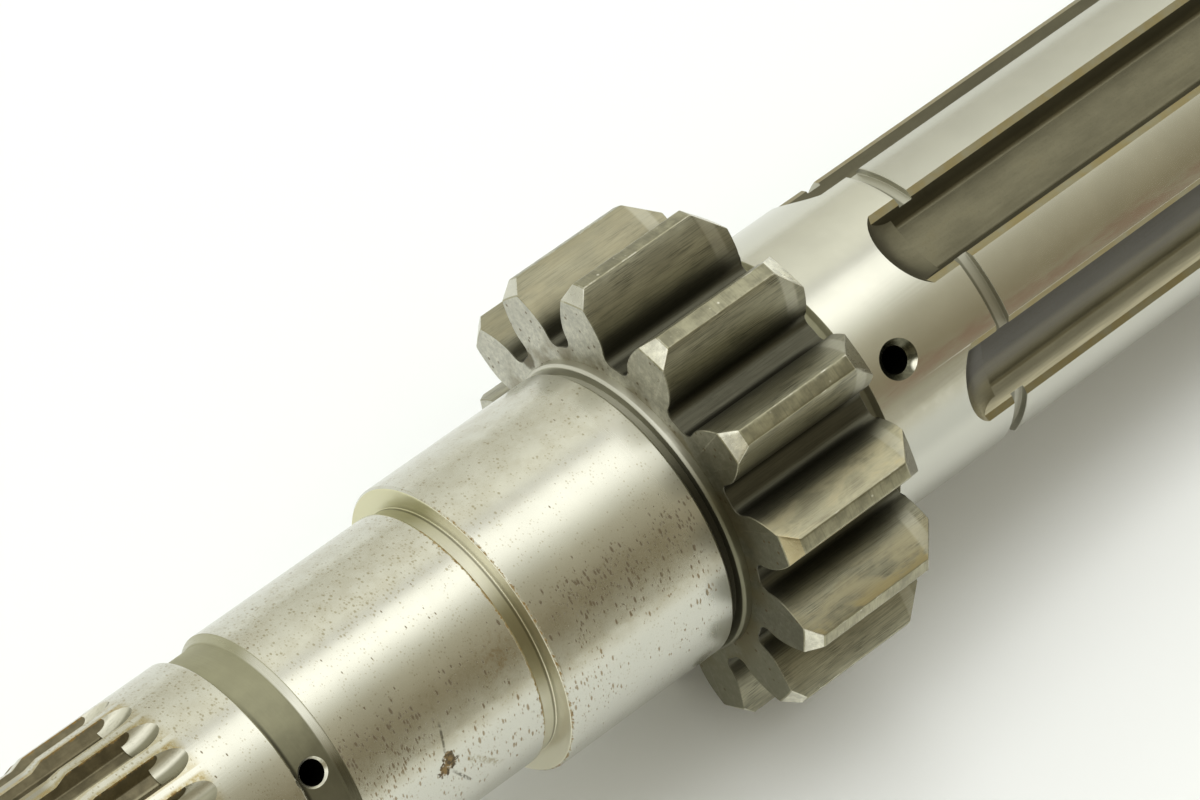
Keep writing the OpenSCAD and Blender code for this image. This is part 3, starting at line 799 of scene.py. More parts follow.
def tooth_flank(m):
    """Flanks and roots: fine scratches, darker in patches, dark roots, tan oil film and a rubbed strip"""
    n, c, st = m.n, m.c, m.st
    fine = m.drawn(0.30, 11.0, 4.0, 0.65)
    broad = m.drawn(0.30, 0.9, 4.0, 0.6)
    m.base(n.step(broad, 0.30, 0.72), c.flank, 0.84, 1.14)
    m.lay(rgb(c.flank, 0.4), n.step(fine, 0.46, 0.64), 0.55)
    patch = m.drawn(0.30, 0.55, 2.0, 0.5)
    short = m.drawn(0.5, 15.0, 3.0, 0.6)
    dark = n.mul(n.step(short, 0.46, 0.60), n.step(patch, 0.48, 0.68))
    dark = n.mul(dark, n.step(m.radius, 16.0, 17.2))
    m.lay(rgb(c.flank, 0.18), dark, 0.66)
    root = n.fall(m.radius, 14.8, 17.4)
    m.lay(rgb(c.flank, 0.18), root, 0.84)
    film = m.drawn(0.30, 0.75, 4.0, 0.6, 0.4)
    low = n.mul(m.turned_to(64, 24, 10), n.step(m.radius, 16.2, 17.6))
    tan = n.mul(n.step(film, 0.36, 0.68), low)
    m.lay(rgb(c.varnish), tan, 0.8)
    upper = n.mul(m.turned_to(-66, 32, 8), n.step(m.radius, 15.4, 17.0))
    m.lay(rgb(c.varnish, 0.8), upper, n.step(film, 0.3, 0.7, 0.3, 0.8))
    pale = n.mul(m.turned_to(49, 6, 3), n.step(m.radius, 16.4, 17.6))
    m.lay(rgb(c.varnish, 1.3), pale, n.step(film, 0.3, 0.6, 0.25, 0.6))
    rim = n.mul(n.step(film, 0.50, 0.62), n.mul(low, n.step(m.radius, 18.3, 19.2)))
    m.lay(rgb(c.stain, 0.95), rim, 0.6)
    strip = n.mul(m.between(st.face + 11.9 * MM, st.face + 13.0 * MM, 0.15), n.step(m.radius, 15.6, 17))
    m.lay(rgb(c.bright, 0.8), strip, 0.34)
    rough = n.mad(fine, 0.20, 0.34)
    rough = n.mad(tan, 0.12, rough)
    return m.finish(rough, 1.0, fine, 0.02)


def tooth_tip(m):
    """Tip lands: olive, with fine marks across and small bright dings"""
    n, c = m.n, m.c
    across = m.drawn(7.0, 0.6, 3.0, 0.6)
    cloud = m.noise(0.7, 4.0, 0.6)
    m.base(n.step(cloud, 0.32, 0.7), c.tip, 0.75, 1.25)
    m.lay(rgb(c.tip, 0.55), n.step(across, 0.45, 0.75), 0.45)
    dings = m.specks(1.5, 0.24, 0.16)
    m.lay(rgb(c.bright), dings, 0.8)
    rough = n.mad(across, 0.20, 0.26)
    return m.finish(rough, 1.0, n.sub(across, dings), 0.02)


def bright_steel(m):
    """Turned chamfers and rubbed edges: bright, with short scratches; olive at the back of the pinion"""
    n, c, st = m.n, m.c, m.st
    scratch = m.drawn(1.2, 5.0, 4.0, 0.65)
    cloud = m.noise(1.1, 4.0, 0.6)
    m.base(n.step(cloud, 0.35, 0.72), c.bright, 0.72, 1.1)
    m.lay(rgb(c.flank, 0.8), n.step(scratch, 0.55, 0.75), 0.35)
    m.lay(rgb(c.stain, 0.85), m.turned_to(58, 9, 4), 0.8)
    m.lay(rgb(c.forged, 1.05), m.turned_to(-80, 63, 9), 0.85)
    behind = n.mul(n.step(m.x, st.back / MM - 4.0, st.back / MM - 3.0), m.turned_to(100, 90, 8))
    m.lay(rgb(c.flank, 0.6), behind, 0.8)
    rough = n.mad(scratch, 0.18, 0.20)
    return m.finish(rough, 1.0, scratch, 0.015)


def rubbed_edge(m):
    """Edges of the teeth: olive where dull, bright where other teeth have rubbed them"""
    n, c = m.n, m.c
    wear = m.noise(0.9, 4.0, 0.65)
    m.colour = n.mix(n.step(wear, 0.48, 0.76), rgb(c.tip, 1.1), rgb(c.bright, 0.75))
    rough = n.mad(wear, -0.2, 0.42)
    return m.finish(rough, 1.0, wear, 0.02)


def slot_steel(m):
    """Gear slots: dark milled floors with faint lengthwise lines, brown stains and one bluish slot, and a
    painted tan highlight on one wall of the lower slot, shaded at its foot
    """
    n, c, st = m.n, m.c, m.st
    lines = m.drawn(0.25, 5.0, 3.0, 0.6)
    cloud = m.drawn(0.18, 0.4, 4.0, 0.6)
    m.base(n.step(cloud, 0.32, 0.70), c.slot, 0.88, 1.14)
    m.lay(rgb(c.stain, 0.3), n.step(cloud, 0.58, 0.78), 0.4)
    m.lay(rgb(SLOT_BLUE), m.turned_to(60, 12, 3), 0.75)
    speckle = m.noise(5.0, 3.0, 0.7)
    m.lay(rgb(c.slot, 0.65), n.step(speckle, 0.5, 0.75), 0.3)
    wall = n.step(m.radius, st.floor_r / MM + 0.3, st.floor_r / MM + 0.9)
    m.lay(rgb(c.slot, 0.35), wall, 0.5)
    # Painted highlight: a tan streak on the upward wall of the lower slot, fading to painted shade at its
    # foot
    strip = n.step(m.radius, st.floor_r / MM + 0.5, st.spline_r / MM - 0.4, 0.25, 1.0)
    rubbed = n.mul(m.turned_to(75, 9, 2), n.mul(strip, n.step(lines, 0.3, 0.7, 0.7, 1.0)))
    m.lay(rgb(c.varnish, 0.85), rubbed, 0.85)
    rough = n.mad(lines, 0.18, 0.40)
    rough = n.mad(rubbed, -0.18, rough)
    return m.finish(rough, 1.0, n.plus(lines, speckle), 0.012)


def slot_edge(m):
    """Chamfers along the lands: brown and satin"""
    n, c = m.n, m.c
    lines = m.drawn(0.3, 6.0, 3.0, 0.6)
    cloud = m.noise(0.5, 3.0, 0.6)
    m.colour = n.mix(n.step(cloud, 0.35, 0.7), rgb(c.stain, 0.55), rgb(c.slot, 1.7))
    rough = n.mad(lines, 0.2, 0.3)
    return m.finish(rough, 1.0, lines, 0.01)


def space_steel(m):
    """Clutch spaces: dark stained flanks, rust along the edges of the lands"""
    n, c, st = m.n, m.c, m.st
    lines = m.drawn(0.4, 6.0, 3.0, 0.6)
    cloud = m.noise(0.6, 4.0, 0.65)
    m.base(n.step(cloud, 0.34, 0.70), c.space, 0.7, 1.1)
    m.lay(rgb(c.varnish, 0.75), n.step(m.across_space(), 1.2, 2.4, 0.0, 0.75))
    grain = m.noise(2.4, 4.0, 0.7)
    edge = n.step(m.radius, st.hub_r / MM - 0.3, st.hub_r / MM - 0.02)
    rust = n.step(n.plus(n.mul(edge, 0.5), n.sub(grain, 0.5)), 0.32, 0.6)
    m.lay(rgb(c.rust), rust, 0.85)
    rough = n.mad(lines, 0.2, 0.32)
    rough = n.mad(rust, 0.3, rough)
    metal = n.sub(1.0, n.mul(rust, 0.8))
    return m.finish(rough, metal, lines, 0.015)


def facet_steel(m):
    """Run-outs of the clutch spaces: a painted highlight on one half and painted shade in olive on the
    other, with fine scratches
    """
    n, c = m.n, m.c
    scratch = m.drawn(1.5, 5.0, 4.0, 0.65)
    # Painted highlight on one half of each run-out, painted shade in olive on the other
    m.colour = n.mix(n.step(m.across_space(), -1.2, 0.8), rgb(c.bright, 0.8), rgb(c.flank, 0.85))
    m.lay(rgb(c.flank, 0.8), n.step(scratch, 0.5, 0.72), 0.3)
    rough = n.mad(scratch, 0.2, 0.28)
    return m.finish(rough, 1.0, scratch, 0.015)


def sink_steel(m):
    """Sink round the gear's oil hole: dark and smooth, with a painted highlight at one side"""
    n, c, st = m.n, m.c, m.st
    rings = m.noise(4.0, 3.0, 0.6)
    m.base(n.step(rings, 0.35, 0.7), c.turned, 0.4, 0.6)
    # Painted highlight: a bright patch on one side of the sink
    beside = st.back + st.s.gear_hole_x + 1.3 * MM
    painted_sink_highlight = m.near_point(beside, st.spline_r, math.degrees(st.s.oil_turn) + 6, 1.0)
    m.lay(rgb(c.bright), n.step(painted_sink_highlight, 0.2, 0.6))
    return m.finish(n.mad(rings, 0.1, 0.2), 1.0, rings, 0.01)


def hole_steel(m):
    """Oil ways: drilled walls, nearly black as painted shade"""
    n, c = m.n, m.c
    rings = m.noise(3.0, 3.0, 0.6)
    m.base(n.step(rings, 0.35, 0.7), c.hole, 0.6, 1.4)
    return m.finish(n.mad(rings, 0.2, 0.3), 1.0, rings, 0.02)


FINISHES = {
    "ground": ground_steel,
    "turned": turned_steel,
    "forged": forged_face,
    "flank": tooth_flank,
    "tip": tooth_tip,
    "bright": bright_steel,
    "edge": rubbed_edge,
    "slot": slot_steel,
    "slot_edge": slot_edge,
    "space": space_steel,
    "facet": facet_steel,
    "sink": sink_steel,
    "hole": hole_steel,
}


def finish_of(name):
    """The material of a finish, made the first time it is asked for"""
    make = FINISHES[name]
    return bpy.data.materials.get(make.__name__) or make(Steel(make.__name__))


def soften(line, reach, steps):
    """Rounds the corners of an outline of (x, r, finish) points; ends and axis points stay"""
    out = [line[0]]
    for (ax, ar, before), (bx, br, after), (cx, cr, _) in zip(line, line[1:], line[2:]):
        a, b, c = Vector((ax, ar)), Vector((bx, br)), Vector((cx, cr))
        back = min(reach, 0.4 * (a - b).length, 0.4 * (c - b).length)
        p, q = b + (a - b).normalized() * back, b + (c - b).normalized() * back
        for i in range(steps + 1):
            t = i / steps
            v = p.lerp(b, t).lerp(b.lerp(q, t), t)
            out.append((v[0], v[1], after if i == steps else before))
    return out + [line[-1]]


def lathe(name, line, columns):
    """Turns an outline of (x, r, finish) round the X axis"""
    used = sorted({p[2] for p in line})
    verts, faces, zones, rings = [], [], [], []
    for x, r, _ in line:
        first = len(verts)
        if r < 1e-9:
            verts.append((x, 0, 0))
            rings.append([first] * columns)
            continue
        for j in range(columns):
            y, z = around(r, 2 * math.pi * j / columns)
            verts.append((x, y, z))
        rings.append(list(range(first, first + columns)))
    for (_, _, finish), a, b in zip(line, rings, rings[1:]):
        for j in range(columns):
            k = (j + 1) % columns
            face = [a[j], a[k], b[k], b[j]]
            faces.append(tuple(dict.fromkeys(face)))
            zones.append(used.index(finish))
    return new_piece(name, verts, faces, zones, [finish_of(u) for u in used])


class SHAFT_OT_blank(bpy.types.Operator):
    """Turns the blank with its journals, grooves, reliefs, centre hole and oil gallery"""

    bl_idname = "object.shaft_blank"
    bl_label = "Turned blank"

    def execute(self, context):
        st = stations()
        s, e = st.s, st.s.edge_break
        thread_r, low_r, collar_r, end_r = s.thread_d / 2, s.hub_low_d / 2, s.collar_d / 2, s.end_d / 2
        slope = math.tan(CENTRE_HALF)
        drill = math.tan(DRILL_HALF)
        deep = (s.centre_d - s.centre_pilot_d) / 2 / slope
        sink = st.gallery_r / 2
        inside = 1.5 * MM
        core_r = 11.6 * MM
        line = [
            (deep + s.centre_pilot_len, 0, "hole"),
            (deep + s.centre_pilot_len, s.centre_pilot_d / 2, "hole"),
            (deep, s.centre_pilot_d / 2, "turned"),
            (0, s.centre_d / 2, "turned"),
            (0, thread_r - s.thread_chamfer, "turned"),
            (s.thread_chamfer, thread_r, "ground"),
            (s.thread_len, thread_r, "turned"),
            (s.thread_len + s.thread_relief_h, thread_r - s.thread_relief_h, "turned"),
            (st.hub, thread_r - s.thread_relief_h, "turned"),
            (st.hub, low_r - s.hub_chamfer, "turned"),
            (st.hub + s.hub_chamfer, low_r, "ground"),
            (st.low, low_r, "ground"),
            (st.full, st.hub_r, "ground"),
            (st.band - e, st.hub_r, "ground"),
            (st.band, st.hub_r - e, "turned"),
            (st.band, st.groove_r, "turned"),
            (st.groove, st.groove_r, "turned"),
            (st.journal, st.journal_r, "ground"),
            (st.relief - e, st.journal_r, "ground"),
            (st.relief, st.journal_r - e, "turned"),
            (st.relief, st.journal_r - s.step_relief_h, "turned"),
            (st.seat, st.journal_r - s.step_relief_h, "turned"),
            (st.seat, st.seat_r - e, "ground"),
            (st.seat + e, st.seat_r, "ground"),
            (st.undercut - e, st.seat_r, "ground"),
            (st.undercut, st.seat_r - e, "turned"),
            (st.undercut, st.seat_r - s.undercut_h, "turned"),
            (st.collar, st.seat_r - s.undercut_h, "turned"),
            (st.collar, collar_r - e, "turned"),
            (st.collar + e, collar_r, "turned"),
            (st.face + inside, collar_r, "turned"),
            (st.face + inside, core_r, "turned"),
            (st.back - inside, core_r, "turned"),
            (st.back - inside, st.spline_r - s.back_relief_h, "turned"),
            (st.plain - s.back_relief_h, st.spline_r - s.back_relief_h, "turned"),
            (st.plain, st.spline_r, "ground"),
            (st.ring, st.spline_r, "turned"),
            (st.ring, st.spline_r - s.ring_h, "turned"),
            (st.ring + s.ring_w, st.spline_r - s.ring_h, "turned"),
            (st.ring + s.ring_w, st.spline_r, "ground"),
            (st.spline_end - s.spline_end, st.spline_r, "turned"),
            (st.spline_end, st.spline_r - s.spline_end, "turned"),
            (st.spline_end, end_r, "ground"),
            (st.end - s.end_chamfer, end_r, "turned"),
            (st.end, end_r - s.end_chamfer, "turned"),
            (st.end, st.gallery_r + sink, "turned"),
            (st.end - sink / slope, st.gallery_r, "hole"),
            (st.gallery_tip, st.gallery_r, "hole"),
            (st.gallery_tip - st.gallery_r / drill, 0, "hole"),
        ]
        lathe(PIECE, soften(line, s.edge_soft, 3), s.columns)
        return {"FINISHED"}


def tooth_section(st, reach):
    """Half tooth from the middle of its space to its middle, cut off at the radius reach, with its zones"""
    s = st.s
    foot_turn = st.flank_half(st.base_r)
    foot, middle = around(st.root_r, foot_turn), around(st.root_r, st.tooth_pitch / 2)
    fillet = rounded(middle, foot, around(st.base_r, foot_turn), s.pinion_fillet, 6)
    start = math.atan2(-fillet[0][0], fillet[0][1])
    half = st.tooth_pitch / 2
    points = [around(st.root_r, half + (start - half) * i / 2) for i in range(2)]
    points += fillet
    low, high = fillet[-1].length, reach - s.edge_soft
    steps = 9
    for i in range(1, steps + 1):
        r = low + (high - low) * i / steps
        points.append(around(r, foot_turn if r < st.base_r else st.flank_half(r)))
    corner_turn = st.flank_half(reach)
    land_turn = corner_turn - s.edge_soft / reach
    a, b, c = points[-1], around(reach, corner_turn), around(reach, land_turn)
    points.append((a + 2 * b + c) / 4)
    points += [around(reach, land_turn * (1 - i / 4)) for i in range(5)]
    zones = ["flank"] * 17 + ["edge"] * 2 + ["tip"] * 4
    return points, zones


def inset(points, depth):
    """A cross-section moved inwards from its own outline"""
    out = []
    for k, p in enumerate(points):
        a, b = points[max(0, k - 1)], points[min(len(points) - 1, k + 1)]
        along = (b - a).normalized()
        side = Vector((along[1], -along[0]))
        out.append(p - side * depth if side.dot(p) > 0 else p + side * depth)
    return out


class SHAFT_OT_pinion(bpy.types.Operator):
    """Makes one tooth of the pinion and sets it out with Geometry Nodes"""

    bl_idname = "object.shaft_pinion"
    bl_label = "Pinion"

    def execute(self, context):
        st = stations()
        s, e = st.s, st.s.edge_soft
        bore_r, web_r = 10.8 * MM, st.root_r - 0.7 * MM
        front, back = st.tip_r - s.pinion_front, st.tip_r - s.pinion_back

        def whole(half):
            return half + mirrored(half)[1:]

        def ring(x, r):
            n = len(whole(tooth_section(st, st.tip_r)[0]))
            turns = [st.tooth_pitch * (0.5 - k / (n - 1)) for k in range(n)]
            return [(x, *around(r, t)) for t in turns]

        def tooth(x, reach, depth=0.0):
            half, _ = tooth_section(st, reach)
            points = whole(half)
            return [(x, *p) for p in (inset(points, depth) if depth else points)]

        start, end = st.face + s.pinion_front, st.back - s.pinion_back
        rows = [
            (ring(st.face, bore_r), "forged"),
            (ring(st.face, web_r), "forged"),
            (tooth(st.face, front, e), "edge"),
            (tooth(st.face + e, front + e), "chamfer"),
            (tooth(start - e, st.tip_r - e), "edge_tip"),
        ]
        steps = 44
        for i in range(steps + 1):
            x = start + e + (end - start - 2 * e) * i / steps
            rows.append((tooth(x, st.tip_r), "tooth" if i < steps else "edge_tip"))
        rows += [
            (tooth(end + e, st.tip_r - e), "chamfer"),
            (tooth(st.back - e, back + e), "edge"),
            (tooth(st.back, back, e), "forged"),
            (ring(st.back, web_r), "forged"),
            (ring(st.back, bore_r), "forged"),
        ]
        half_zones = tooth_section(st, st.tip_r)[1]
        across = half_zones + half_zones[::-1]
        finishes = ["forged", "flank", "tip", "bright", "edge"]
        n = len(rows[0][0])
        verts = [p for row, _ in rows for p in row]
        faces, zones = [], []
        for k, (_, kind) in enumerate(rows):
            a, b = k * n, (k + 1) % len(rows) * n
            for j in range(n - 1):
                faces.append((a + j, a + j + 1, b + j + 1, b + j))
                zone = across[j]
                if kind == "forged":
                    zone = "forged"
                elif kind == "edge":
                    zone = "edge" if zone == "tip" else zone
                elif kind == "chamfer" and zone != "flank":
                    zone = "bright"
                elif kind == "edge_tip" and zone == "tip":
                    zone = "edge"
                zones.append(finishes.index(zone))
        obj = new_piece("pinion_tooth", verts, faces)
        edge = obj.data.attributes.new("edge", "FLOAT", "POINT")
        weights = []
        for k, (_, kind) in enumerate(rows):
            for j in range(n):
                corner = "edge" in (across[min(j, n - 2)], across[max(j - 1, 0)])
                weights.append(1.0 if corner and kind == "tooth" else 0.0)
        edge.data.foreach_set("value", weights)
        materials = {f: finish_of(f) for f in finishes}
        set_out(obj, s.pinion_teeth, st.pinion_turn, materials, zones, s.nick)
        obj.name = "pinion_ring"
        cut(bpy.data.objects[PIECE], obj, "UNION")
        return {"FINISHED"}


def climb(r, h):
    """Length a cutter of radius r takes to climb out of the depth h"""
    return math.sqrt(2 * r * h - h * h)


def run_out(tool, x, way, floor, r, crown, depth, finish):
    """Ends a cut from the side way, 1 or -1, in its cutter's crowned nose at the station x"""
    st = stations()
    half, low = climb(crown, depth), floor + st.s.runout_step
    turns, across = 120, 24
    loops = []
    for i in range(across + 1):
        y = half * (2 * i / across - 1)
        rim = r - crown + math.sqrt(crown * crown - y * y)
        ring = [2 * math.pi * k / turns for k in range(turns)]
        loops.append([(x + rim * math.sin(a), y, low + r - rim * math.cos(a)) for a in ring])
    nose = new_piece("cutter_nose", *loft(loops), materials=[finish_of(finish)])
    sides = [(x, x + way * st.end), (-st.spline_r, st.spline_r), (0, 1.5 * st.spline_r)]
    box = [(a, b, c) for a in sides[0] for b in sides[1] for c in sides[2]]
    faces = [(0, 1, 3, 2), (4, 6, 7, 5), (0, 4, 5, 1), (2, 3, 7, 6), (0, 2, 6, 4), (1, 5, 7, 3)]
    keep = new_piece("cut_kept", box, faces, materials=[finish_of(finish)])
    cut(keep, nose, "UNION")
    cut(tool, keep, "INTERSECT")


def cut_round(tool, number, first_turn, finishes):
    """Sets a cutter out round the axis, each face with the finish it carries, and cuts the shaft"""
    materials = {f: finish_of(f) for f in finishes}
    names = [m.name for m in materials.values()]
    own = [names.index(m.name) if m else 0 for m in tool.data.materials]
    zones = [own[p.material_index] for p in tool.data.polygons]
    set_out(tool, number, first_turn, materials, zones)
    cut(bpy.data.objects[PIECE], tool, "DIFFERENCE")


class SHAFT_OT_gear_slots(bpy.types.Operator):
    """Makes the cutter of one gear slot, sets it out with Geometry Nodes and cuts the slots"""

    bl_idname = "object.shaft_gear_slots"
    bl_label = "Gear slots"

    def execute(self, context):
        st = stations()
        s = st.s
        h, w, c = st.spline_pitch / 2, s.spline_w / 2, s.spline_chamfer
        top = math.sqrt(st.spline_r**2 - (w - c) ** 2)

        def beside(u, v):
            return Vector((-u * math.sin(h) + v * math.cos(h), u * math.cos(h) + v * math.sin(h)))

        floor = [around(st.floor_r, st.slot_half * 0.8 * i / 8) for i in range(8)]
        foot, wall, lip = around(st.floor_r, st.slot_half), beside(top - c, w), beside(top, w - c)
        near = around(st.floor_r, st.slot_half * 0.8)
        side = floor + rounded(near, foot, wall, s.spline_fillet, 5) + [wall, lip]
        side.append(Vector((lip[0], st.spline_r + PAST)))
        section = mirrored(side) + side[1:]
        ends = (st.slot - PAST, st.spline_end + PAST)
        verts, faces = loft([[(x, *p) for p in section] for x in ends])
        finishes = ("slot", "slot_edge")
        # the two chamfers are the second and the last but two of the section's sides
        chamfers = (1, len(section) - 3)
        zones = [int(k in chamfers) for k in range(len(faces))]
        tool = new_piece("slot_tool", verts, faces, zones, [finish_of(f) for f in finishes])
        stop = st.slot + climb(s.spline_runout_r, s.spline_depth - s.runout_step)
        run_out(tool, stop, 1, st.floor_r, s.spline_runout_r, s.spline_crown, s.spline_depth, "slot")
        cut_round(tool, s.spline_count, s.spline_turn + h, finishes)
        return {"FINISHED"}


class SHAFT_OT_clutch_spaces(bpy.types.Operator):
    """Makes the cutter of one clutch space, sets it out with Geometry Nodes and cuts the spaces"""

    bl_idname = "object.shaft_clutch_spaces"
    bl_label = "Clutch spaces"

    def execute(self, context):
        st = stations()
        s = st.s
        half = (math.pi * s.hub_d / s.hub_teeth - s.hub_land) / 2
        slope = math.tan(s.hub_flank)
        foot = Vector((-(half - s.hub_depth * slope), st.hub_floor_r))
        side = rounded(Vector((0, st.hub_floor_r)), foot, Vector((-half, st.hub_r)), s.hub_fillet, 4)
        side.append(Vector((-half - 0.5 * PAST * slope, st.hub_r + 0.5 * PAST)))
        section = mirrored(side) + side
        tip = st.band - s.hub_plain
        ends = (s.thread_len + s.thread_relief_w / 2, tip + PAST)
        verts, faces = loft([[(x, *p) for p in section] for x in ends])
        tool = new_piece("space_tool", verts, faces, materials=[finish_of("space")])
        stop = tip - climb(s.hub_runout_r, s.hub_depth - s.runout_step)
        run_out(tool, stop, -1, st.hub_floor_r, s.hub_runout_r, s.hub_crown, s.hub_depth, "facet")
        cut_round(tool, s.hub_teeth, s.hub_turn + math.pi / s.hub_teeth, ("space", "facet"))
        return {"FINISHED"}


class SHAFT_OT_oil_holes(bpy.types.Operator):
    """Drills the two oil holes with their sunk rims into the gallery"""

    bl_idname = "object.shaft_oil_holes"
    bl_label = "Oil holes"

    def execute(self, context):
        st = stations()
        s = st.s
        holes = (
            (st.band + s.groove_hole_x, st.groove_r, s.groove_hole_d / 2, s.groove_hole_rim, "bright"),
            (st.back + s.gear_hole_x, st.spline_r, s.gear_hole_d / 2, s.gear_hole_sink, "sink"),
        )
        for x, r, hole_r, rim, skin in holes:
            line = [
                (0, 0, "hole"),
                (0, hole_r, "hole"),
                (r - rim, hole_r, skin),
                (r + PAST, hole_r + rim + PAST, skin),
                (r + PAST, 0, skin),
            ]
            drill = lathe("oil_drill", line, 72)
            upright = Matrix.Translation((x, 0, 0)) @ Matrix.Rotation(-math.pi / 2, 4, "Y")
            drill.data.transform(Matrix.Rotation(s.oil_turn, 4, "X") @ upright)
            cut(bpy.data.objects[PIECE], drill, "DIFFERENCE")
        return {"FINISHED"}


class SHAFT_OT_thread(bpy.types.Operator):
    """Cuts the clutch nut's thread along a helix made with Geometry Nodes"""

    bl_idname = "object.shaft_thread"
    bl_label = "Clutch nut's thread"

    def execute(self, context):
        s = stations().s
        groove = bpy.data.objects.new("thread_tool", bpy.data.meshes.new("thread_tool"))
        context.collection.objects.link(groove)
        sweep = groove.modifiers.new("thread", "NODES")
        sweep.node_group = thread_tree()
        values = {
            "Radius": s.thread_d / 2 - THREAD_SINK * s.thread_pitch,
            "Pitch": s.thread_pitch,
            "Length": s.thread_len + THREAD_RUN * s.thread_pitch,
            "Groove": THREAD_REACH * s.thread_pitch,
            "Material": finish_of("turned"),
        }
        set_inputs(sweep, values)
        finish_modifiers(groove)
        groove.data.transform(Matrix.Translation((-s.thread_pitch, 0, 0)))
        cut(bpy.data.objects[PIECE], groove, "DIFFERENCE")
        return {"FINISHED"}


class SHAFT_OT_finish(bpy.types.Operator):
    """Lays the finished shaft down, smooths its surfaces and hands it to the frame"""

    bl_idname = "object.shaft_finish"
    bl_label = "Finished shaft"

    def execute(self, context):
        st = stations()
        piece = bpy.data.objects[PIECE]
        where, tilt = st.at_rest()
        piece.data.transform(Matrix.Translation(where) @ Matrix.Rotation(tilt, 4, "Y"))
        bm = bmesh.new()
        bm.from_mesh(piece.data)
        bmesh.ops.remove_doubles(bm, verts=bm.verts, dist=SHAFT_WELD)
        bmesh.ops.dissolve_degenerate(bm, edges=bm.edges, dist=SHORTEST_EDGE)
        bm.to_mesh(piece.data)
        open_edges = sum(1 for e in bm.edges if len(e.link_faces) != 2)
        bm.free()
        if open_edges:
            raise RuntimeError(f"the shaft has {open_edges} open edges")
        piece.data.shade_smooth()
        piece.data.set_sharp_from_angle(angle=SHARP)
        weigh = piece.modifiers.new("weigh", "WEIGHTED_NORMAL")
        weigh.keep_sharp = True
        finish_modifiers(piece)
        piece.data.name = PIECE
        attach(piece, "root")
        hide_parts("main_shaft")
        return {"FINISHED"}


# The studio round the shaft, by the turn from straight up: brightness and warmth
SURROUNDINGS = (
    (-88, 0.75, 0.3),
    (-58, 0.95, 0.2),
    (-42, 1.10, 0.2),
    (-36, 1.08, 0.2),
    (-29, 0.82, 0.0),
    (-25, 0.96, 0.0),
    (-20, 1.56, 0.0),
    (-8, 1.68, 0.0),
    (0, 1.58, 0.0),
    (14, 0.90, 0.2),
    (27, 0.50, 0.6),
    (58, 0.25, 1.0),
    (70, 0.30, 0.8),
    (88, 0.48, 0.5),
)
SURROUNDINGS_STRENGTH = 1.7
# Camera fitted to the photograph
CAMERA_LENS = 191.51
CAMERA_PLACE = (-0.184497, -0.190346, 0.427776)
CAMERA_FORWARD = Vector((0.35853963, 0.40959634, -0.83885647))
CAMERA_UP = Vector((0.56592391, 0.61927833, 0.54426508))
WHITE = (1.0, 1.0, 1.0)
# Lamps: name, size, energy, colour, place and turn; one without a turn faces the origin
LAMPS = (
    ("soft_box", 1.7, 0.29, 0.8, (0.99, 1.0, 0.95), (0.28, 0.08, 0.66), (math.radians(-7), 0, 0)),
    ("key", 0.3, 0.3, 0.6, WHITE, (0.15, 0.28, 0.75), None),
    ("fill", 1.2, 1.2, 1.4, WHITE, (0.55, -0.75, 0.9), None),
)


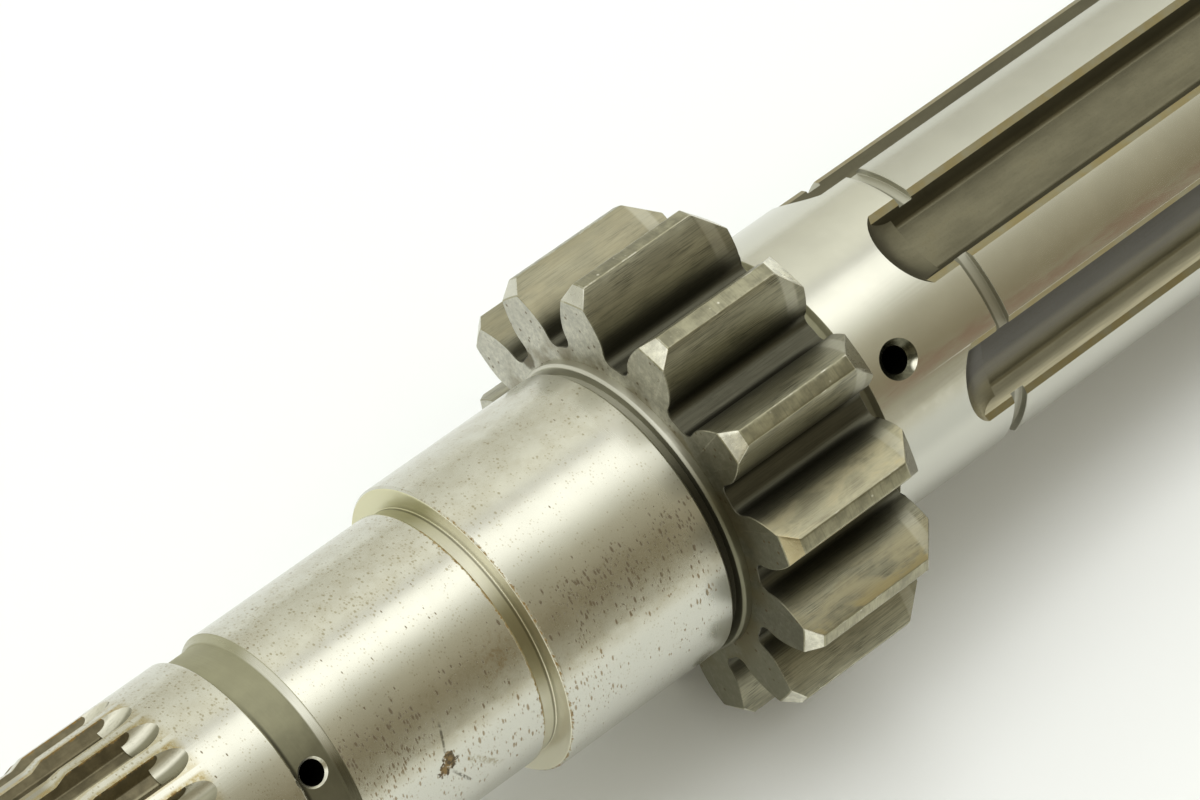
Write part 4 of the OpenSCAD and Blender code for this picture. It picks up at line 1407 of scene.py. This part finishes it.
class SHAFT_OT_stage(bpy.types.Operator):
    """Sets up the floor, the soft light, the surroundings and the camera"""

    bl_idname = "object.shaft_stage"
    bl_label = "Stage"

    def execute(self, context):
        scene, c = context.scene, colours()
        scene.view_settings.view_transform = "Standard"
        corners = [(x * FLOOR_HALF, y * FLOOR_HALF, 0) for x, y in ((-1, -1), (1, -1), (1, 1), (-1, 1))]
        mesh = bpy.data.meshes.new("floor")
        mesh.from_pydata(corners, [], [(0, 1, 2, 3)])
        floor = bpy.data.objects.new("floor", mesh)
        context.collection.objects.link(floor)
        paint = bpy.data.materials.new("table_top")
        paint.use_nodes = True
        surface = paint.node_tree.nodes["Principled BSDF"]
        n = Nodes(paint.node_tree)
        coords = n.add("ShaderNodeTexCoord").outputs["Object"]
        cloud = n.noise(coords, 6.0, 3.0, 0.5)
        colour = n.mix(n.step(cloud, 0.3, 0.7), rgb(c.floor, 0.985), rgb(c.floor))
        paint.node_tree.links.new(colour, surface.inputs["Base Color"])
        surface.inputs["Roughness"].default_value = 0.75
        surface.inputs["Specular IOR Level"].default_value = 0.2
        mesh.materials.append(paint)

        world = bpy.data.worlds.new("studio")
        scene.world = world
        world.use_nodes = True
        n = Nodes(world.node_tree)
        back = world.node_tree.nodes["Background"]
        way = n.add("ShaderNodeSeparateXYZ", {0: n.add("ShaderNodeTexCoord").outputs["Generated"]}).outputs
        over = n.math("DEGREES", n.math("ARCTAN2", n.mul(way[1], -1.0), way[2]))
        ramp = n.add("ShaderNodeValToRGB", {0: n.step(over, -90.0, 90.0, shape="LINEAR")})
        stops = ramp.color_ramp.elements
        for turned, level, warm in SURROUNDINGS:
            level /= SURROUNDINGS_STRENGTH
            stop = stops.new((turned + 90) / 180)
            stop.color = (level * (0.985 + 0.16 * warm * warm), level, level * (0.98 - 0.31 * warm), 1)
        stops.remove(stops[0])
        stops.remove(stops[-1])
        world.node_tree.links.new(ramp.outputs[0], back.inputs[0])
        back.inputs[1].default_value = SURROUNDINGS_STRENGTH

        for name, size, size_y, energy, tone, place, turned in LAMPS:
            lamp = bpy.data.lights.new(name, "AREA")
            lamp.shape = "RECTANGLE"
            lamp.size, lamp.size_y = size, size_y
            lamp.energy, lamp.color = energy, tone
            box = bpy.data.objects.new(name, lamp)
            box.location = place
            box.rotation_euler = turned or box.location.to_track_quat("Z", "Y").to_euler()
            box.visible_camera = box.visible_glossy = False
            context.collection.objects.link(box)

        camera = bpy.data.cameras.new("camera")
        camera.lens = CAMERA_LENS
        camera.sensor_width = 36
        camera.clip_start, camera.clip_end = 0.01, 20
        eye = bpy.data.objects.new("camera", camera)
        right = CAMERA_FORWARD.cross(CAMERA_UP)
        turned = Matrix((right, CAMERA_UP, -CAMERA_FORWARD)).transposed().to_4x4()
        eye.matrix_world = Matrix.Translation(CAMERA_PLACE) @ turned
        context.collection.objects.link(eye)
        scene.camera = eye
        return {"FINISHED"}


class SHAFT_PT_panel(bpy.types.Panel):
    """Lists the steps that make the shaft and its stage"""

    bl_idname = "SHAFT_PT_panel"
    bl_label = "Main shaft"
    bl_space_type = "VIEW_3D"
    bl_region_type = "UI"
    bl_category = "Shaft"

    def draw(self, context):
        for step in STEPS:
            self.layout.operator(step.bl_idname)
        settings = context.scene.main_shaft
        for group in (settings.sizes, settings.colours):
            for name in group.__annotations__:
                self.layout.prop(group, name)


STEPS = (
    SHAFT_OT_blank,
    SHAFT_OT_pinion,
    SHAFT_OT_gear_slots,
    SHAFT_OT_clutch_spaces,
    SHAFT_OT_oil_holes,
    SHAFT_OT_thread,
    SHAFT_OT_finish,
    SHAFT_OT_stage,
)
CLASSES = (ShaftSizes, ShaftColours, ShaftSettings, *STEPS, SHAFT_PT_panel)


def register():
    for cls in CLASSES:
        bpy.utils.register_class(cls)
    bpy.types.Scene.main_shaft = PointerProperty(type=ShaftSettings, name="Main shaft")


def unregister():
    del bpy.types.Scene.main_shaft
    for cls in reversed(CLASSES):
        bpy.utils.unregister_class(cls)


def main():
    register()
    for step in STEPS:
        group, name = step.bl_idname.split(".")
        getattr(getattr(bpy.ops, group), name)()


if __name__ == "__main__":
    main()
